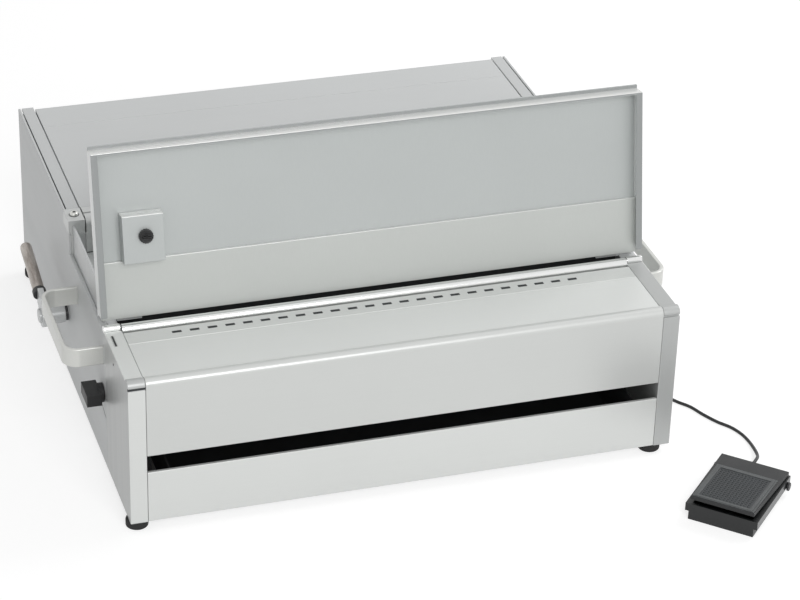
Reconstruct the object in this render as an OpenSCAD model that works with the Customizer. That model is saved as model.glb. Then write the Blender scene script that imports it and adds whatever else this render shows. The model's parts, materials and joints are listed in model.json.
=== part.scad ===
// Electric binding punch with a foot switch on a cord.
// Millimetres, +X to the right, +Y to the back, +Z up.
// The origin is on the floor under the middle of the machine.
// Inside the machine, depths are counted from the front face and heights from the underside of the body.

/* [Body] */
// Width over the side panels
body_w = 450; // [420:1:480]
// Depth from the front face to the back edge of the side panels
body_d = 430; // [420:1:460]
// Height of the flat top of the front section
head_h = 126; // [122:0.5:134]
// Height of the rear housing
house_h = 155; // [150:0.5:170]
// Depth at which the rear housing starts
house_y = 215; // [208:1:225]
// Thickness of the cheeks beside the front cover
cheek_t = 14; // [13:0.5:18]
// Depth of the cheeks
cheek_d = 82.5; // [81:0.5:84]
// Width of the groove under the cheeks' rolled edge
cheek_groove = 1.8; // [1:0.1:2.5]
// Sheet thickness of the panels and covers
panel_t = 2; // [1.2:0.1:2.5]
// Thickness of the inner side frames
frame_t = 8; // [6:0.5:9]
// Thickness of the base plate
base_t = 3; // [2:0.5:4]
// How far the low part of the side panels stays under the front section's top
low_drop = 1.5; // [1:0.5:4]
// How far the side frames stand above the low side panels
frame_rise = 26.5; // [20:0.5:28]
// Gap between a side panel and the frame's standing sheet
wing_gap = 1.2; // [0.8:0.1:1.6]
// Thickness of the frame's standing sheet
wing_t = 2; // [1.2:0.1:2.4]
// How far the rear panel is set in from the back edge
rear_inset = 4; // [3.5:0.5:8]
// Depth of the top strip that belongs to the rear panel
rear_strip = 36; // [25:1:50]
// Depth of the front bar and corner blocks of the rear housing
house_bar_d = 22; // [16:1:30]
// Height of the front bar and corner blocks of the rear housing
house_bar_h = 12; // [9:0.5:16]
// Width of the corner gap beside the front bar
house_bar_gap = 0.8; // [0.5:0.1:3]
// Width and depth of the groove along the front bar
house_groove = 2; // [1:0.25:3]
// Gap on both sides of the side panels' top strips
strip_gap = 1; // [0.5:0.1:1.5]
// Height of the covers' side flanges
cover_flange = 10; // [8:0.5:14]
// Gap between sheets that lie edge to edge
seam = 0.2; // [0.1:0.05:0.3]

/* [Feet] */
// Height of the rubber feet
foot_h = 7; // [5:0.5:12]
// Radius of the rubber feet
foot_r = 9; // [8:0.5:14]
// Distance of the feet's centres from the body's front and back
foot_in = 9.5; // [9:0.5:20]
// Distance of the feet's centres from the body's sides
foot_side = 10.5; // [10:0.5:20]
// How far the feet stand to the right of the body's middle
foot_shift = -3.5; // [-4:0.5:4]

/* [Front] */
// Depth of the front cover's flat top
cover_d = 60; // [55:0.5:65]
// Radius of the rolled front edge
roll_r = 5.5; // [4:0.25:8]
// Height of the rolled edge above the flat top
roll_rise = 2; // [1:0.25:3]
// Height of the chip drawer's front
drawer_front_h = 45.5; // [38:0.5:48]
// Height of the finger slot
slot_h = 15; // [12:0.5:20]
// Depth of the finger slot
slot_d = 26; // [20:1:30]
// Depth of the scale strip
strip_d = 20; // [16:0.5:24]
// Thickness of the scale strip
strip_t = 6; // [4:0.5:8]
// Depth of the throat bar
bar_d = 9; // [7:0.5:12]
// Height of the throat bar above the front section's top
bar_rise = 4; // [2:0.5:6]
// Width of the groove before the throat bar
bar_groove = 2; // [0.5:0.25:3]
// Gap between the throat bar and its end blocks
bar_joint = 0.9; // [0.4:0.1:1.5]

/* [Chip drawer] */
// Depth of the drawer box
drawer_d = 137; // [100:1:139]
// Wall of the drawer box and its front
drawer_wall = 1.5; // [1:0.25:3]
// Thickness of the drawer's front
drawer_front_t = 3; // [2:0.5:5]
// Distance from the drawer box to the cheeks
drawer_side = 18; // [14:1:30]
// Thickness of the drawer rails
rail_t = 2.7; // [2:0.1:4]
// Width of each drawer rail
rail_w = 24; // [16:1:40]
// Height of each drawer rail's side
rail_h = 12; // [8:0.5:16]
// Running gap of the drawer
drawer_gap = 0.3; // [0.2:0.05:0.5]

/* [Punch] */
// Open width of the throat
throat_gap = 5; // [4.6:0.1:6]
// Distance between neighbouring holes
hole_pitch = 14.2875; // [12:0.0125:14.5]
// Number of holes
hole_count = 25; // [21:2:25]
// Width of a punched hole
hole_w = 8; // [6:0.1:9]
// Height of a punched hole
hole_h = 3; // [2:0.1:4]
// Clearance around a pin in its guide
pin_gap = 0.1; // [0.05:0.01:0.2]
// Thickness of the die plate
die_t = 10; // [8:0.5:12]
// Height of the die plate
die_h = 26; // [22:0.5:30]
// Height of the punch line above the die plate's underside
punch_rise = 3.8; // [3:0.1:6]
// Thickness of the pin guide plate
guide_t = 12; // [8:0.5:14]
// Height of the pin guide plate
guide_h = 43; // [36:0.5:44]
// Travel of the pins
stroke = 13; // [11:0.5:14]
// Thickness of the pin retainer
retainer_t = 10; // [8:0.5:14]
// Height of the pin retainer
retainer_h = 24; // [18:0.5:26]
// Height of a pin's head
pin_head = 4; // [3:0.25:6]
// Thickness of the pressure bar
press_t = 18; // [14:0.5:24]
// Height of the pressure bar
press_h = 26; // [22:0.5:28]
// Height of the ram guides
gib_h = 8; // [6:0.5:10]
// Length of the ram guides
gib_l = 52; // [45:1:56]

/* [Paper stop] */
// Height of the paper stop's axis
stop_z = 66.5; // [62:0.5:70]
// Radius of the paper stop rod
stop_r = 6; // [5:0.25:6.5]
// Offset of the rod from its axis
stop_ecc = 1.5; // [0.5:0.1:2]
// Radius of the rod's journals
stop_pin_r = 4; // [3:0.1:4.4]
// Radius of the knob's hub
knob_r = 8; // [6.5:0.25:10]
// Length of the knob's hub
knob_l = 3; // [2:0.5:8]
// Length of the knob's wing along the axis
wing_l = 12; // [8:0.5:16]
// Width of the knob's wing
wing_w = 24; // [18:0.5:30]
// Thickness of the knob's wing
wing_h = 10; // [9.5:0.25:12]

/* [Paper tray] */
// How far the tray leans back, in degrees
tray_lean = 10; // [8:0.5:12]
// Length of the tray up its slope
tray_l = 136; // [120:0.5:150]
// Width of the tray
tray_w = 452; // [440:1:454]
// Sheet thickness of the tray
tray_t = 2; // [1.2:0.1:3]
// Depth of the side flanges and the top wall
flange_d = 12; // [8:0.5:16]
// Width of the lip on each side flange
flange_lip = 5.3; // [4:0.1:7]
// Height of the edge that stands behind the tray's top wall
top_lip = 3; // [2:0.25:5]
// Length of the lower plate up the slope
ledge_l = 57; // [50:0.5:65]
// How far the lower plate reaches below the tray
ledge_over = 3; // [1:0.25:5]
// Thickness of the lower plate
ledge_t = 2.5; // [1.5:0.1:4]
// Width of each bracket behind the tray
bracket_w = 20; // [14:1:30]
// Height of each bracket behind the tray
bracket_h = 36; // [24:1:45]
// Foot length of each bracket
bracket_foot = 30; // [20:1:45]
// Thickness of the brackets
bracket_t = 3; // [2:0.25:4]

/* [Edge guide] */
// Width of the edge guide
edge_w = 33; // [24:0.5:40]
// Height of the edge guide
edge_h = 39; // [30:0.5:44]
// Thickness of the edge guide
edge_t = 12; // [9:0.5:16]
// Distance from the tray's left edge to the edge guide
edge_in = 21; // [18:0.5:40]
// Running gap of the edge guide
edge_gap = 0.3; // [0.2:0.05:0.5]
// Radius of the clamp knob
edge_knob_r = 5.75; // [4:0.25:7]
// Length of the clamp knob
edge_knob_l = 4; // [3:0.5:8]
// Radius of the clamp knob's screw
edge_screw_r = 2; // [1.5:0.1:3]

/* [Carry handles] */
// Depth of the handles' front end
handle_y = 88; // [88:0.5:95]
// Length of a handle
handle_l = 101; // [85:1:105]
// How far the left handle stands out
handle_out = 31; // [24:0.5:36]
// How far the right handle stands out
right_out = 26.5; // [24:0.5:36]
// Height of the handle band
handle_h = 16; // [14:0.5:26]
// Thickness of the handle band
handle_t = 3.5; // [2.5:0.25:5]
// Height of the handle's middle
handle_z = 102; // [95:0.5:108]
// Outer corner radius of the handle band
handle_r = 13; // [8:0.5:16]
// Length of each tab behind the panel
handle_tab = 18; // [14:0.5:24]
// Thickness of each tab behind the panel
tab_t = 3; // [2:0.25:3.5]

/* [Lock lever] */
// Depth of the lever's pivot
lever_y = 230; // [227:1:240]
// Height of the lever's pivot
lever_z = 62; // [54:0.5:70]
// Distance from the side panel to the middle of the lever's arm
lever_out = 20.5; // [16:0.5:24]
// Thickness of the arm
arm_t = 5; // [3:0.5:7]
// Width of the arm
arm_w = 16; // [14:0.5:22]
// Rise from the pivot to the grip
arm_rise = 12.5; // [11:0.5:20]
// Step back from the pivot to the grip's collar
arm_back = 12.5; // [11:0.5:20]
// Radius of the lever's shaft
lever_pin_r = 6; // [4:0.25:6.5]
// Radius of the grip
grip_r = 5; // [4:0.25:7]
// Length of the grip with its collar
grip_l = 64; // [50:1:80]
// How far the grip tilts up to the back, in degrees
grip_tilt = 12.5; // [5:0.5:20]
// Length of the grip's collar
collar_l = 6; // [4:0.5:10]
// Radius of the grip's collar
collar_r = 5.75; // [5.25:0.25:8]

/* [Drive] */
// Radius of the camshaft
shaft_r = 8; // [6:0.5:9]
// Smallest radius of a cam
cam_r = 20; // [18:0.5:22]
// Width of a cam
cam_w = 12; // [9:0.5:14]
// Distance from the middle to each cam
cam_x = 185; // [184:0.5:188]
// Radius of a follower pin
follower_r = 5; // [4:0.25:6]
// Gap between a cam and its followers
cam_gap = 0.4; // [0.3:0.05:0.6]
// Thickness of the yoke bars
yoke_t = 5; // [4:0.5:6]
// Height of the yoke bars
yoke_h = 30; // [26:0.5:34]
// Wall of the bearings
bearing_t = 5; // [3:0.5:6]
// Module of the gears
gear_m = 1.5; // [1.4:0.05:1.55]
// Teeth on the drive gear
gear_teeth = 48; // [44:4:48]
// Teeth on the pinion
pinion_teeth = 16; // [16:2:18]
// Width of the gears
gear_w = 12; // [8:0.5:14]
// Play between the teeth
backlash = 0.3; // [0.2:0.05:0.4]
// Radius of the pinion's shaft
pinion_r = 5; // [4:0.25:6]
// Side of the gearbox
gearbox_s = 56; // [48:1:60]
// Length of the gearbox
gearbox_l = 50; // [40:1:60]
// Radius of the motor
motor_r = 36; // [30:0.5:38]
// Length of the motor
motor_l = 98; // [80:1:102]
// Thickness of the motor bracket
motor_bracket_t = 5; // [3:0.5:6]
// Clearance of a shaft in its bearing
run_gap = 0.04; // [0.02:0.01:0.08]

/* [Electrics] */
// Width of the control board
board_w = 120; // [90:1:140]
// Depth of the control board
board_d = 88; // [70:1:100]
// Height of the board's spacers
spacer_h = 9; // [6:0.5:14]
// Height of the transformer
transformer_h = 46; // [35:0.5:60]
// Distance from the middle to the power inlet
inlet_x = 150; // [130:1:170]
// Distance from the middle to the power switch
switch_x = 95; // [85:1:105]
// Height of the inlet's and switch's middle
inlet_z = 40; // [32:0.5:60]
// Distance from the middle to the cord's gland
gland_x = 100; // [92:1:108]
// Height of the cord's gland
gland_z = 38; // [34:0.5:48]

/* [Foot switch] */
// Width of the foot switch's base
pedal_w = 54.4; // [50:0.2:60]
// Length of the foot switch's base
pedal_l = 76.4; // [72:0.2:80]
// Height of the base's walls
pedal_h = 14.5; // [13:0.25:16]
// Thickness of the base's walls
pedal_wall = 2.2; // [1.8:0.1:3]
// How far the rim along the base's sides stands out
rim_out = 3; // [2:0.25:4]
// Height of that rim
rim_h = 7; // [5:0.25:9]
// Thickness of the base's floor
pedal_floor = 2.5; // [2:0.1:3.5]
// Thickness of the treadle's plate
treadle_t = 3; // [2.5:0.25:4]
// Width of the treadle at its back
treadle_back_w = 57.6; // [55:0.2:64]
// Width of the treadle at its front
treadle_front_w = 53.4; // [50:0.2:60]
// How far the treadle tilts up to the front, in degrees
treadle_tilt = 3; // [2:0.25:4]
// Gap between the treadle's back and the base's walls
treadle_gap = 0.5; // [0.4:0.05:0.8]
// Length of the treadle's pad
pad_l = 54; // [45:0.5:58]
// Width of the treadle's pad
pad_w = 48; // [42:0.5:50]
// Width of the raised border around the pad
pad_border = 2.6; // [2:0.1:4]
// Height of the raised border around the pad
pad_rise = 0.7; // [0.4:0.05:1.2]
// Radius of the hinge pin
hinge_r = 2; // [1.5:0.1:2.2]
// Distance of the hinge pin from the back edge
hinge_in = 6.2; // [6:0.1:8]
// Height of the hinge pin
hinge_z = 8; // [7:0.25:9]
// Radius of the switch's return spring
spring_r = 5; // [4:0.25:6]
// Wire radius of the return spring
spring_wire = 0.4; // [0.3:0.05:0.5]

/* [Cord] */
// Diameter of the cord
cord_d = 2.8; // [2.6:0.1:3]
// Distance of the coil behind the machine
coil_back = 47; // [44:0.5:60]

/* [Hidden] */
$fn = 64;

// Half widths: outside of the body, inside of the cheeks and frames, and of the covers between them
half_w = body_w / 2;
in_w = half_w - cheek_t;
fit_w = in_w - seam;

// Heights of the stacked covers
low_h = head_h - low_drop;
frame_h = low_h + frame_rise;
house_under = house_h - panel_t;
house_bar_z = house_h - house_bar_h;
bar_top = head_h + bar_rise;
wing_x = half_w - panel_t - wing_gap;

// Depths from the front face
bar_y = cover_d + strip_d;
throat_y = bar_y + bar_d;
guide_y = throat_y + throat_gap;
rear_y = body_d - rear_inset;
strip_y = rear_y - rear_strip;
block_y = house_y + house_bar_d;

// Paper stop and die
stop_y = throat_y + throat_gap / 2;
stop_clear = 1.2;
die_z = stop_z + stop_r + stop_ecc + stop_clear;
die_top = die_z + die_h;
punch_z = die_z + punch_rise;
guide_top = die_z + guide_h;
row_w = (hole_count - 1) * hole_pitch;

// Ram: pins, retainer and pressure bar, drawn with the pins out of the throat
pin_tip_y = guide_y + 1;
retainer_y = guide_y + guide_t + stroke + 6;
pin_head_y = retainer_y + retainer_t;
press_y = pin_head_y + pin_head;
press_back = press_y + press_t;
retainer_w = row_w + 18;
press_w = in_w - 3;
gib_y = press_back - gib_l + 13;
gib_gap = 0.1;

// Camshaft
follower_free = 4.6;
cam_y = press_back + follower_free + 2 * follower_r + cam_gap + cam_r;
yoke_in = cam_w / 2 + 1.5;
yoke_back = cam_y + cam_r + stroke + cam_gap + 2 * follower_r + 8;
slot_r = shaft_r + 0.6;
shaft_end = in_w + frame_t - 0.5;
bearing_r = shaft_r + bearing_t;

// Gears and motor
gear_r = gear_m * gear_teeth / 2;
pinion_pitch_r = gear_m * pinion_teeth / 2;
pinion_y = cam_y + gear_r + pinion_pitch_r;
bracket_x = gear_w / 2 + 2;
gearbox_x = bracket_x + motor_bracket_t;
motor_x = gearbox_x + gearbox_l;
gearbox_bore = 32;
gear_room = 1.5;

// Paper tray: its own slope starts at the top of the pin guide plate
slope_y = guide_y + seam;
slope_z = guide_top + 0.3;
tray_z0 = (bar_top + 0.5 - slope_z) / cos(tray_lean) + (ledge_t + tray_t) * tan(tray_lean);
tray_z1 = tray_z0 + tray_l;
ledge_w = tray_w / 2 - tray_t - seam;
edge_x = -tray_w / 2 + edge_in;

// Chip drawer
drawer_hw = in_w - drawer_side;
drawer_z = base_t + rail_t + drawer_gap;
drawer_h = drawer_front_h - drawer_z - 1.5;

// Fixings
screw_r = 2.5;
screw_hole_r = 2.6;
screw_head_r = 4.2;
screw_head_h = 2.6;
shank_l = 6;

// Foot switch: place on the floor and turn, in degrees
pedal_at = [248.3, -302.5];
pedal_turn = -43.8;
hinge_y = pedal_l / 2 - hinge_in;
pedal_in_w = pedal_w / 2 - pedal_wall;
treadle_under = pedal_h + treadle_gap - hinge_z + hinge_in * sin(treadle_tilt);
treadle_back = hinge_in - 1;
treadle_front = -pedal_l + hinge_in - 0.8;
pad_front = treadle_front + 2;
lug_w = 8;
lug_r = 3.2;
lug_x = pedal_in_w - 0.4;
boot_l = 13.5;
boot_x = -6;
boot_z = 7;
plunger_gap = 1.6;
switch_y = 14;
spring_turns = 4;
spring_y = -8;

// Height of the treadle's underside at a depth in the foot switch
function treadle_z(y) = hinge_z + (hinge_y - y) * sin(treadle_tilt) + treadle_under * cos(treadle_tilt);

// Cord: gland on the rear panel, coil on the floor behind the machine, end in the foot switch's boot
cord_r = cord_d / 2;
gland_r = 6;
gland_l = 20;
gland_tip = [gland_x, rear_y + gland_l - body_d / 2, gland_z + foot_h];
coil_loops = 7;
coil_r = 22.5;
coil_pitch = cord_d + 0.5;
coil_at = [165, body_d / 2 + coil_back];
layer_h = cord_d + 0.6;
coil_in = [coil_at[0], coil_at[1] - coil_r, cord_r];
coil_out = coil_in + [0, 0, layer_h];
boot_dir = [-sin(pedal_turn), cos(pedal_turn), 0];
boot_side = [cos(pedal_turn), sin(pedal_turn), 0];
boot_tip = [pedal_at[0], pedal_at[1], boot_z] + boot_x * boot_side + (pedal_l / 2 + boot_l) * boot_dir;

// Points that the cord passes, chosen by hand
lead_points = [
    gland_tip, gland_tip + [0, 7, 0], gland_tip + [0, 18, -7], gland_tip + [1, 23, -23],
    gland_tip + [6, 23, -36], [gland_x + 17, coil_at[1] - 12, 2.4], [gland_x + 31, coil_at[1] - 19, cord_r],
    coil_in + [-18, 1.1, 0], coil_in + [-8, 0, 0], coil_in + [-cord_d, 0, 0]
];
floor_points = [
    [224, 232], [240, 222], [250, 204], [253, 180], [252, 120], [250, 60], [250, 0], [250, -60],
    [250, -110], [253, -134], [259.5, -147.5], [267.5, -158.5], [273, -172], [280, -186],
    [288, -197.5], [292.5, -210]
];
run_points = concat(
    [coil_out + [cord_d, 0, 0], coil_out + [11, 0, 0]],
    [coil_out + [25, 0, -layer_h / 3], coil_out + [42, -1, -layer_h]],
    [for (p = floor_points) [p[0], p[1], cord_r]],
    [[293.7, -223, 1.6], [292.3, -237.5, 2.8], [289.3, -248.5, 4.8], boot_tip + 7 * boot_dir, boot_tip]
);

// Helpers: places

// The machine's own frame: depth from the front face, height from the body's underside
module machine() {
    translate([0, -body_d / 2, foot_h])
        children();
}

// A copy for the left side of what is drawn for the right
module left_side() {
    mirror([1, 0, 0])
        children();
}

// The tray's slope: +Y out of its back, +Z up the slope
module slope() {
    translate([0, slope_y, slope_z])
        rotate([-tray_lean, 0, 0])
            children();
}

// The foot switch's own frame: its back edge towards +Y
module pedal() {
    translate([pedal_at[0], pedal_at[1], 0])
        rotate([0, 0, pedal_turn])
            children();
}

// Helpers: shapes

// A block between two places along each axis
module block(x, y, z) {
    translate([x[0], y[0], z[0]])
        cube([x[1] - x[0], y[1] - y[0], z[1] - z[0]]);
}

// A round bar along X
module bar_x(x, y, z, r) {
    translate([x[0], y, z])
        rotate([0, 90, 0])
            cylinder(h = x[1] - x[0], r = r);
}

// A round bar along Y
module bar_y_axis(x, y, z, r) {
    translate([x, y[0], z])
        rotate([-90, 0, 0])
            cylinder(h = y[1] - y[0], r = r);
}

// A side view, drawn as depth and height, stretched along X
module along_x(x) {
    translate([x[0], 0, 0])
        rotate([90, 0, 90])
            linear_extrude(x[1] - x[0])
                children();
}

// A pan-head screw whose head stands on Z = 0
module screw() {
    difference() {
        cylinder(h = screw_head_h, r = screw_head_r);
        translate([-screw_head_r, -0.5, screw_head_h - 1])
            cube([2 * screw_head_r, 1, 2]);
    }
    translate([0, 0, -shank_l])
        cylinder(h = shank_l, r = screw_r);
}

// A hole for that screw, through a face at Z = 0
module screw_hole() {
    translate([0, 0, -shank_l - 1])
        cylinder(h = shank_l + 2, r = screw_hole_r);
}

// The row of punch holes or pins, one block of a given width and height for each place
module punch_row(y, w, h) {
    for (i = [0:hole_count - 1]) {
        x = i * hole_pitch - row_w / 2;
        block([x - w / 2, x + w / 2], y, [punch_z - h / 2, punch_z + h / 2]);
    }
}

function polar(r, a) = [r * cos(a), r * sin(a)];

// Involute of a pressure angle, in degrees
function involute(a) = tan(a) * 180 / PI - a;

// Outline of a spur gear with a tooth along its own +X
function gear_outline(teeth) =
    let (
        rp = gear_m * teeth / 2,
        rb = rp * cos(20),
        ra = rp + gear_m,
        rf = rp - 1.25 * gear_m,
        r0 = max(rb, rf),
        half = 90 / teeth + involute(20) - backlash / 4 / rp * 180 / PI,
        radii = [for (k = [0:4]) r0 + (ra - r0) * k / 4]
    )
    [
        for (i = [0:teeth - 1])
            let (a = 360 * i / teeth)
            each concat(
                [polar(rf - 0.01, a - half)],
                [for (r = radii) polar(r, a - half + involute(acos(rb / r)))],
                [for (k = [4:-1:0]) polar(radii[k], a + half - involute(acos(rb / radii[k])))],
                [polar(rf - 0.01, a + half)]
            )
    ];

// Outline of a heart cam whose radius grows evenly over half a turn; least radius towards -X
function cam_radius(a) = cam_r + stroke * (a <= 180 ? a : 360 - a) / 180;
function cam_outline() = [for (a = [0:5:355]) polar(cam_radius(a), 180 + a)];

// Helpers: tubes

// A smooth curve through points, with some steps between each pair
function curve_at(p, i, t) =
    let (
        a = p[max(i - 1, 0)],
        b = p[i],
        c = p[i + 1],
        d = p[min(i + 2, len(p) - 1)]
    )
    b + 0.5 * t * ((c - a) + t * ((2 * a - 5 * b + 4 * c - d) + t * (3 * (b - c) + d - a)));

function curve(p, steps) = [
    for (i = [0:len(p) - 2], k = [0:steps - 1]) curve_at(p, i, k / steps),
    p[len(p) - 1]
];

function unit(v) = v / norm(v);

function heading(p, i) = unit(p[min(i + 1, len(p) - 1)] - p[max(i - 1, 0)]);

function ring(p, i, r, sides, up) =
    let (
        t = heading(p, i),
        u = unit(cross(up, t)),
        v = cross(t, u)
    )
    [for (k = [0:sides - 1]) p[i] + r * (cos(360 * k / sides) * u + sin(360 * k / sides) * v)];

// One closed tube along a path; up is a direction that the path never takes
module tube(p, r, sides, up) {
    n = len(p);
    points = [for (i = [0:n - 1]) each ring(p, i, r, sides, up)];
    walls = [
        for (i = [0:n - 2], k = [0:sides - 1])
            let (
                a = i * sides + k,
                b = i * sides + (k + 1) % sides
            )
            each [[a, a + sides, b], [b, a + sides, b + sides]]
    ];
    near_end = [for (k = [1:sides - 2]) [0, k, k + 1]];
    far_end = [for (k = [1:sides - 2]) [(n - 1) * sides, (n - 1) * sides + k + 1, (n - 1) * sides + k]];
    polyhedron(points = points, faces = concat(walls, near_end, far_end));
}

// Least distance between the surfaces of turns that lie a loop or more apart
function self_gap(p, per_loop, r) =
    min([
        for (i = [0:len(p) - 1], j = [i + floor(per_loop / 2):1:len(p) - 1]) norm(p[i] - p[j])
    ]) - 2 * r;

// Coil: spirals in on the floor, climbs a layer in the half turn where it reverses, and spirals out again
coil_steps = 24;
coil_half = coil_loops / 2;
function coil_spiral(t) = coil_r - coil_pitch * (coil_half - abs(t - coil_half));
function coil_climb(t) = layer_h * min(1, max(0, (t - coil_half + 0.25) / 0.5));
function coil_point(t) =
    let (r = coil_spiral(t), a = 360 * t - 90)
    [coil_at[0] + r * cos(a), coil_at[1] + r * sin(a), cord_r + coil_climb(t)];
coil_turns = [for (k = [1:coil_loops * coil_steps - 1]) coil_point(k / coil_steps)];
coil_path = concat(
    [coil_in - [cord_d, 0, 0], coil_in],
    coil_turns,
    [coil_out, coil_out + [cord_d, 0, 0]]
);
echo(coil_self_gap = self_gap(coil_path, coil_steps, cord_r));

// Return spring of the foot switch, between the base's floor and the treadle
spring_z0 = pedal_floor + spring_wire + 0.1;
spring_z1 = treadle_z(spring_y + spring_r) - spring_wire - 0.3;
spring_path = [
    for (k = [0:8 * spring_turns])
        [
            spring_r * cos(45 * k),
            spring_y + spring_r * sin(45 * k),
            spring_z0 + (spring_z1 - spring_z0) * k / (8 * spring_turns)
        ]
];
echo(spring_self_gap = self_gap(spring_path, 8, spring_wire));

// Frame and base

// Floor plate: narrow between the cheeks, wide behind them
module base_plate() {
    color("gray") machine() {
        block([-fit_w, fit_w], [drawer_front_t + 1, cheek_d + 1], [0, base_t]);
        wide = half_w - panel_t - seam;
        block([-wide, wide], [cheek_d + seam, rear_y - seam], [0, base_t]);
    }
}

// Inner side frame of the right side, with the camshaft's and paper stop's bores and a sheet standing on it
module side_frame() {
    machine() difference() {
        union() {
            along_x([in_w, in_w + frame_t])
                polygon([
                    [cheek_d + seam, base_t],
                    [rear_y - panel_t - seam, base_t],
                    [rear_y - panel_t - seam, house_under],
                    [block_y, house_under],
                    [block_y, house_bar_z],
                    [house_y, house_bar_z],
                    [house_y, low_h],
                    [cheek_d + seam, low_h]
                ]);
            along_x([wing_x - wing_t, wing_x])
                polygon([
                    [frame_front(low_h), low_h - panel_t],
                    [house_y, low_h - panel_t],
                    [house_y, frame_h],
                    [frame_front(frame_h), frame_h],
                    [frame_front(low_h), low_h]
                ]);
            block(
                [in_w + frame_t - 0.5, wing_x],
                [frame_front(low_h), house_y],
                [low_h - panel_t, low_h]
            );
        }
        bar_x([in_w - 1, in_w + frame_t + 1], cam_y, punch_z, bearing_r);
        bar_x([in_w - 1, in_w + frame_t + 1], stop_y, stop_z, stop_pin_r + run_gap);
    }
}

// Depth of the frame's sloped front edge, which follows the tray's back
function frame_front(h) = slope_y + (ledge_t + tray_t + 1) / cos(tray_lean) + (h - slope_z) * tan(tray_lean);

module side_frame_left() {
    color("gainsboro") difference() {
        left_side() side_frame();
        machine() bar_x([-half_w, -in_w + 1], lever_y, lever_z, lever_pin_r + run_gap);
    }
}

module side_frame_right() {
    color("gainsboro") side_frame();
}

// Cheek beside the front cover, with the same rolled front edge
module cheek() {
    machine() difference() {
        along_x([in_w, half_w]) {
            translate([roll_r, 0])
                square([cheek_d - roll_r, head_h]);
            square([roll_r + 1, head_h + roll_rise - roll_r]);
            translate([roll_r, head_h + roll_rise - roll_r])
                circle(r = roll_r);
        }
        // Groove under the rolled edge
        block(
            [in_w - 1, half_w + 1],
            [-1, cheek_groove],
            [head_h + roll_rise - roll_r - cheek_groove, head_h + roll_rise - roll_r]
        );
    }
}

module cheek_left() {
    color("silver") difference() {
        left_side() cheek();
        // Short index slot on the cheek's top
        machine() block([-half_w + 3.5, -half_w + 6], [cover_d, cover_d + 16], [head_h - 1.5, head_h + 1]);
    }
}

module cheek_right() {
    color("silver") cheek();
}

// Outer side panel of the right side: low beside the throat, tall beside the housing, with a top strip
module side_panel() {
    machine() difference() {
        union() {
            block([half_w - panel_t, half_w], [cheek_d + seam, body_d], [0, low_h]);
            block([half_w - panel_t, half_w], [house_y, body_d], [low_h - 1, house_bar_z]);
            block([half_w - panel_t, half_w], [block_y + seam, body_d], [house_bar_z - 1, house_h]);
            block(
                [in_w - seam + strip_gap, half_w - panel_t - strip_gap],
                [block_y + seam, body_d],
                [house_under, house_h]
            );
            block(
                [wing_x + seam, half_w - panel_t + 1],
                [cheek_d + seam, house_y - 48],
                [low_h - panel_t, low_h]
            );
            block(
                [in_w + frame_t + seam, half_w - panel_t + 1],
                [cheek_d + seam, frame_front(low_h) - seam],
                [low_h - panel_t, low_h]
            );
        }
        for (y = handle_ends)
            block(
                [half_w - panel_t - 1, half_w + 1],
                [y - seam, y + handle_t + seam],
                [handle_z - handle_h / 2 - seam, handle_z + handle_h / 2 + seam]
            );
    }
}

module side_panel_left() {
    color("lightgray") difference() {
        left_side() side_panel();
        machine() {
            bar_x([-half_w - 1, -half_w + panel_t + 1], lever_y, lever_z, lever_pin_r + 0.4);
            bar_x([-half_w - 1, -half_w + panel_t + 1], stop_y, stop_z, stop_pin_r + 0.6);
            // Narrow slot below the knob
            translate([-half_w - 1, cheek_d + 2, inlet_z + 6])
                rotate([14, 0, 0])
                    cube([panel_t + 2, 20, 1.5]);
        }
    }
}

module side_panel_right() {
    color("lightgray") side_panel();
}

// Rear housing

// Back wall with its top strip, cut for the inlet, the switch and the gland
module rear_panel() {
    color("silver") machine() difference() {
        union() {
            block([-fit_w, fit_w], [rear_y - panel_t, rear_y], [base_t, house_h]);
            block([-fit_w, fit_w], [strip_y + seam, rear_y - 1], [house_under, house_h]);
        }
        block(
            [-inlet_x - inlet_cut[0] / 2, -inlet_x + inlet_cut[0] / 2],
            [rear_y - panel_t - 1, rear_y + 1],
            [inlet_z - inlet_cut[1] / 2, inlet_z + inlet_cut[1] / 2]
        );
        block(
            [-switch_x - switch_cut[0] / 2, -switch_x + switch_cut[0] / 2],
            [rear_y - panel_t - 1, rear_y + 1],
            [inlet_z - switch_cut[1] / 2, inlet_z + switch_cut[1] / 2]
        );
        bar_y_axis(gland_x, [rear_y - panel_t - 1, rear_y + 1], gland_z, gland_r);
    }
}

// Top cover with side flanges that lie on the frames
module rear_top_cover() {
    color("silver") machine() {
        block([-fit_w, fit_w], [block_y + seam, strip_y], [house_under, house_h]);
        for (s = [-1, 1])
            translate([s * (fit_w - panel_t / 2), 0, 0])
                block(
                    [-panel_t / 2, panel_t / 2],
                    [block_y + seam, strip_y],
                    [house_under - cover_flange, house_under + 1]
                );
    }
}

// Front wall of the housing with the grooved bar along its top
module housing_front() {
    color("silver") machine() {
        block([-fit_w, fit_w], [house_y, house_y + panel_t], [low_h + seam, house_bar_z]);
        along_x([house_bar_gap - in_w, in_w - house_bar_gap]) difference() {
            union() {
                translate([house_y + house_bar_h / 2, house_bar_z])
                    square([house_bar_d - house_bar_h / 2, house_bar_h]);
                translate([house_y + house_bar_h / 2, house_bar_z + house_bar_h / 2])
                    circle(r = house_bar_h / 2);
                translate([house_y, house_bar_z - 1])
                    square([house_bar_d, house_bar_h / 2 + 1]);
            }
            translate([house_y + house_bar_d / 2, house_h - house_groove])
                square([house_groove, house_groove + 1]);
        }
    }
}

// Two blocks that close the housing's front corners, each with a screw hole
module corner_blocks() {
    color("silver") machine() for (s = [0, 1])
        mirror([s, 0, 0])
            difference() {
                block([in_w + seam, half_w], [house_y + seam, block_y], [house_bar_z, house_h]);
                corner_screw_place() screw_hole();
            }
}

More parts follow.
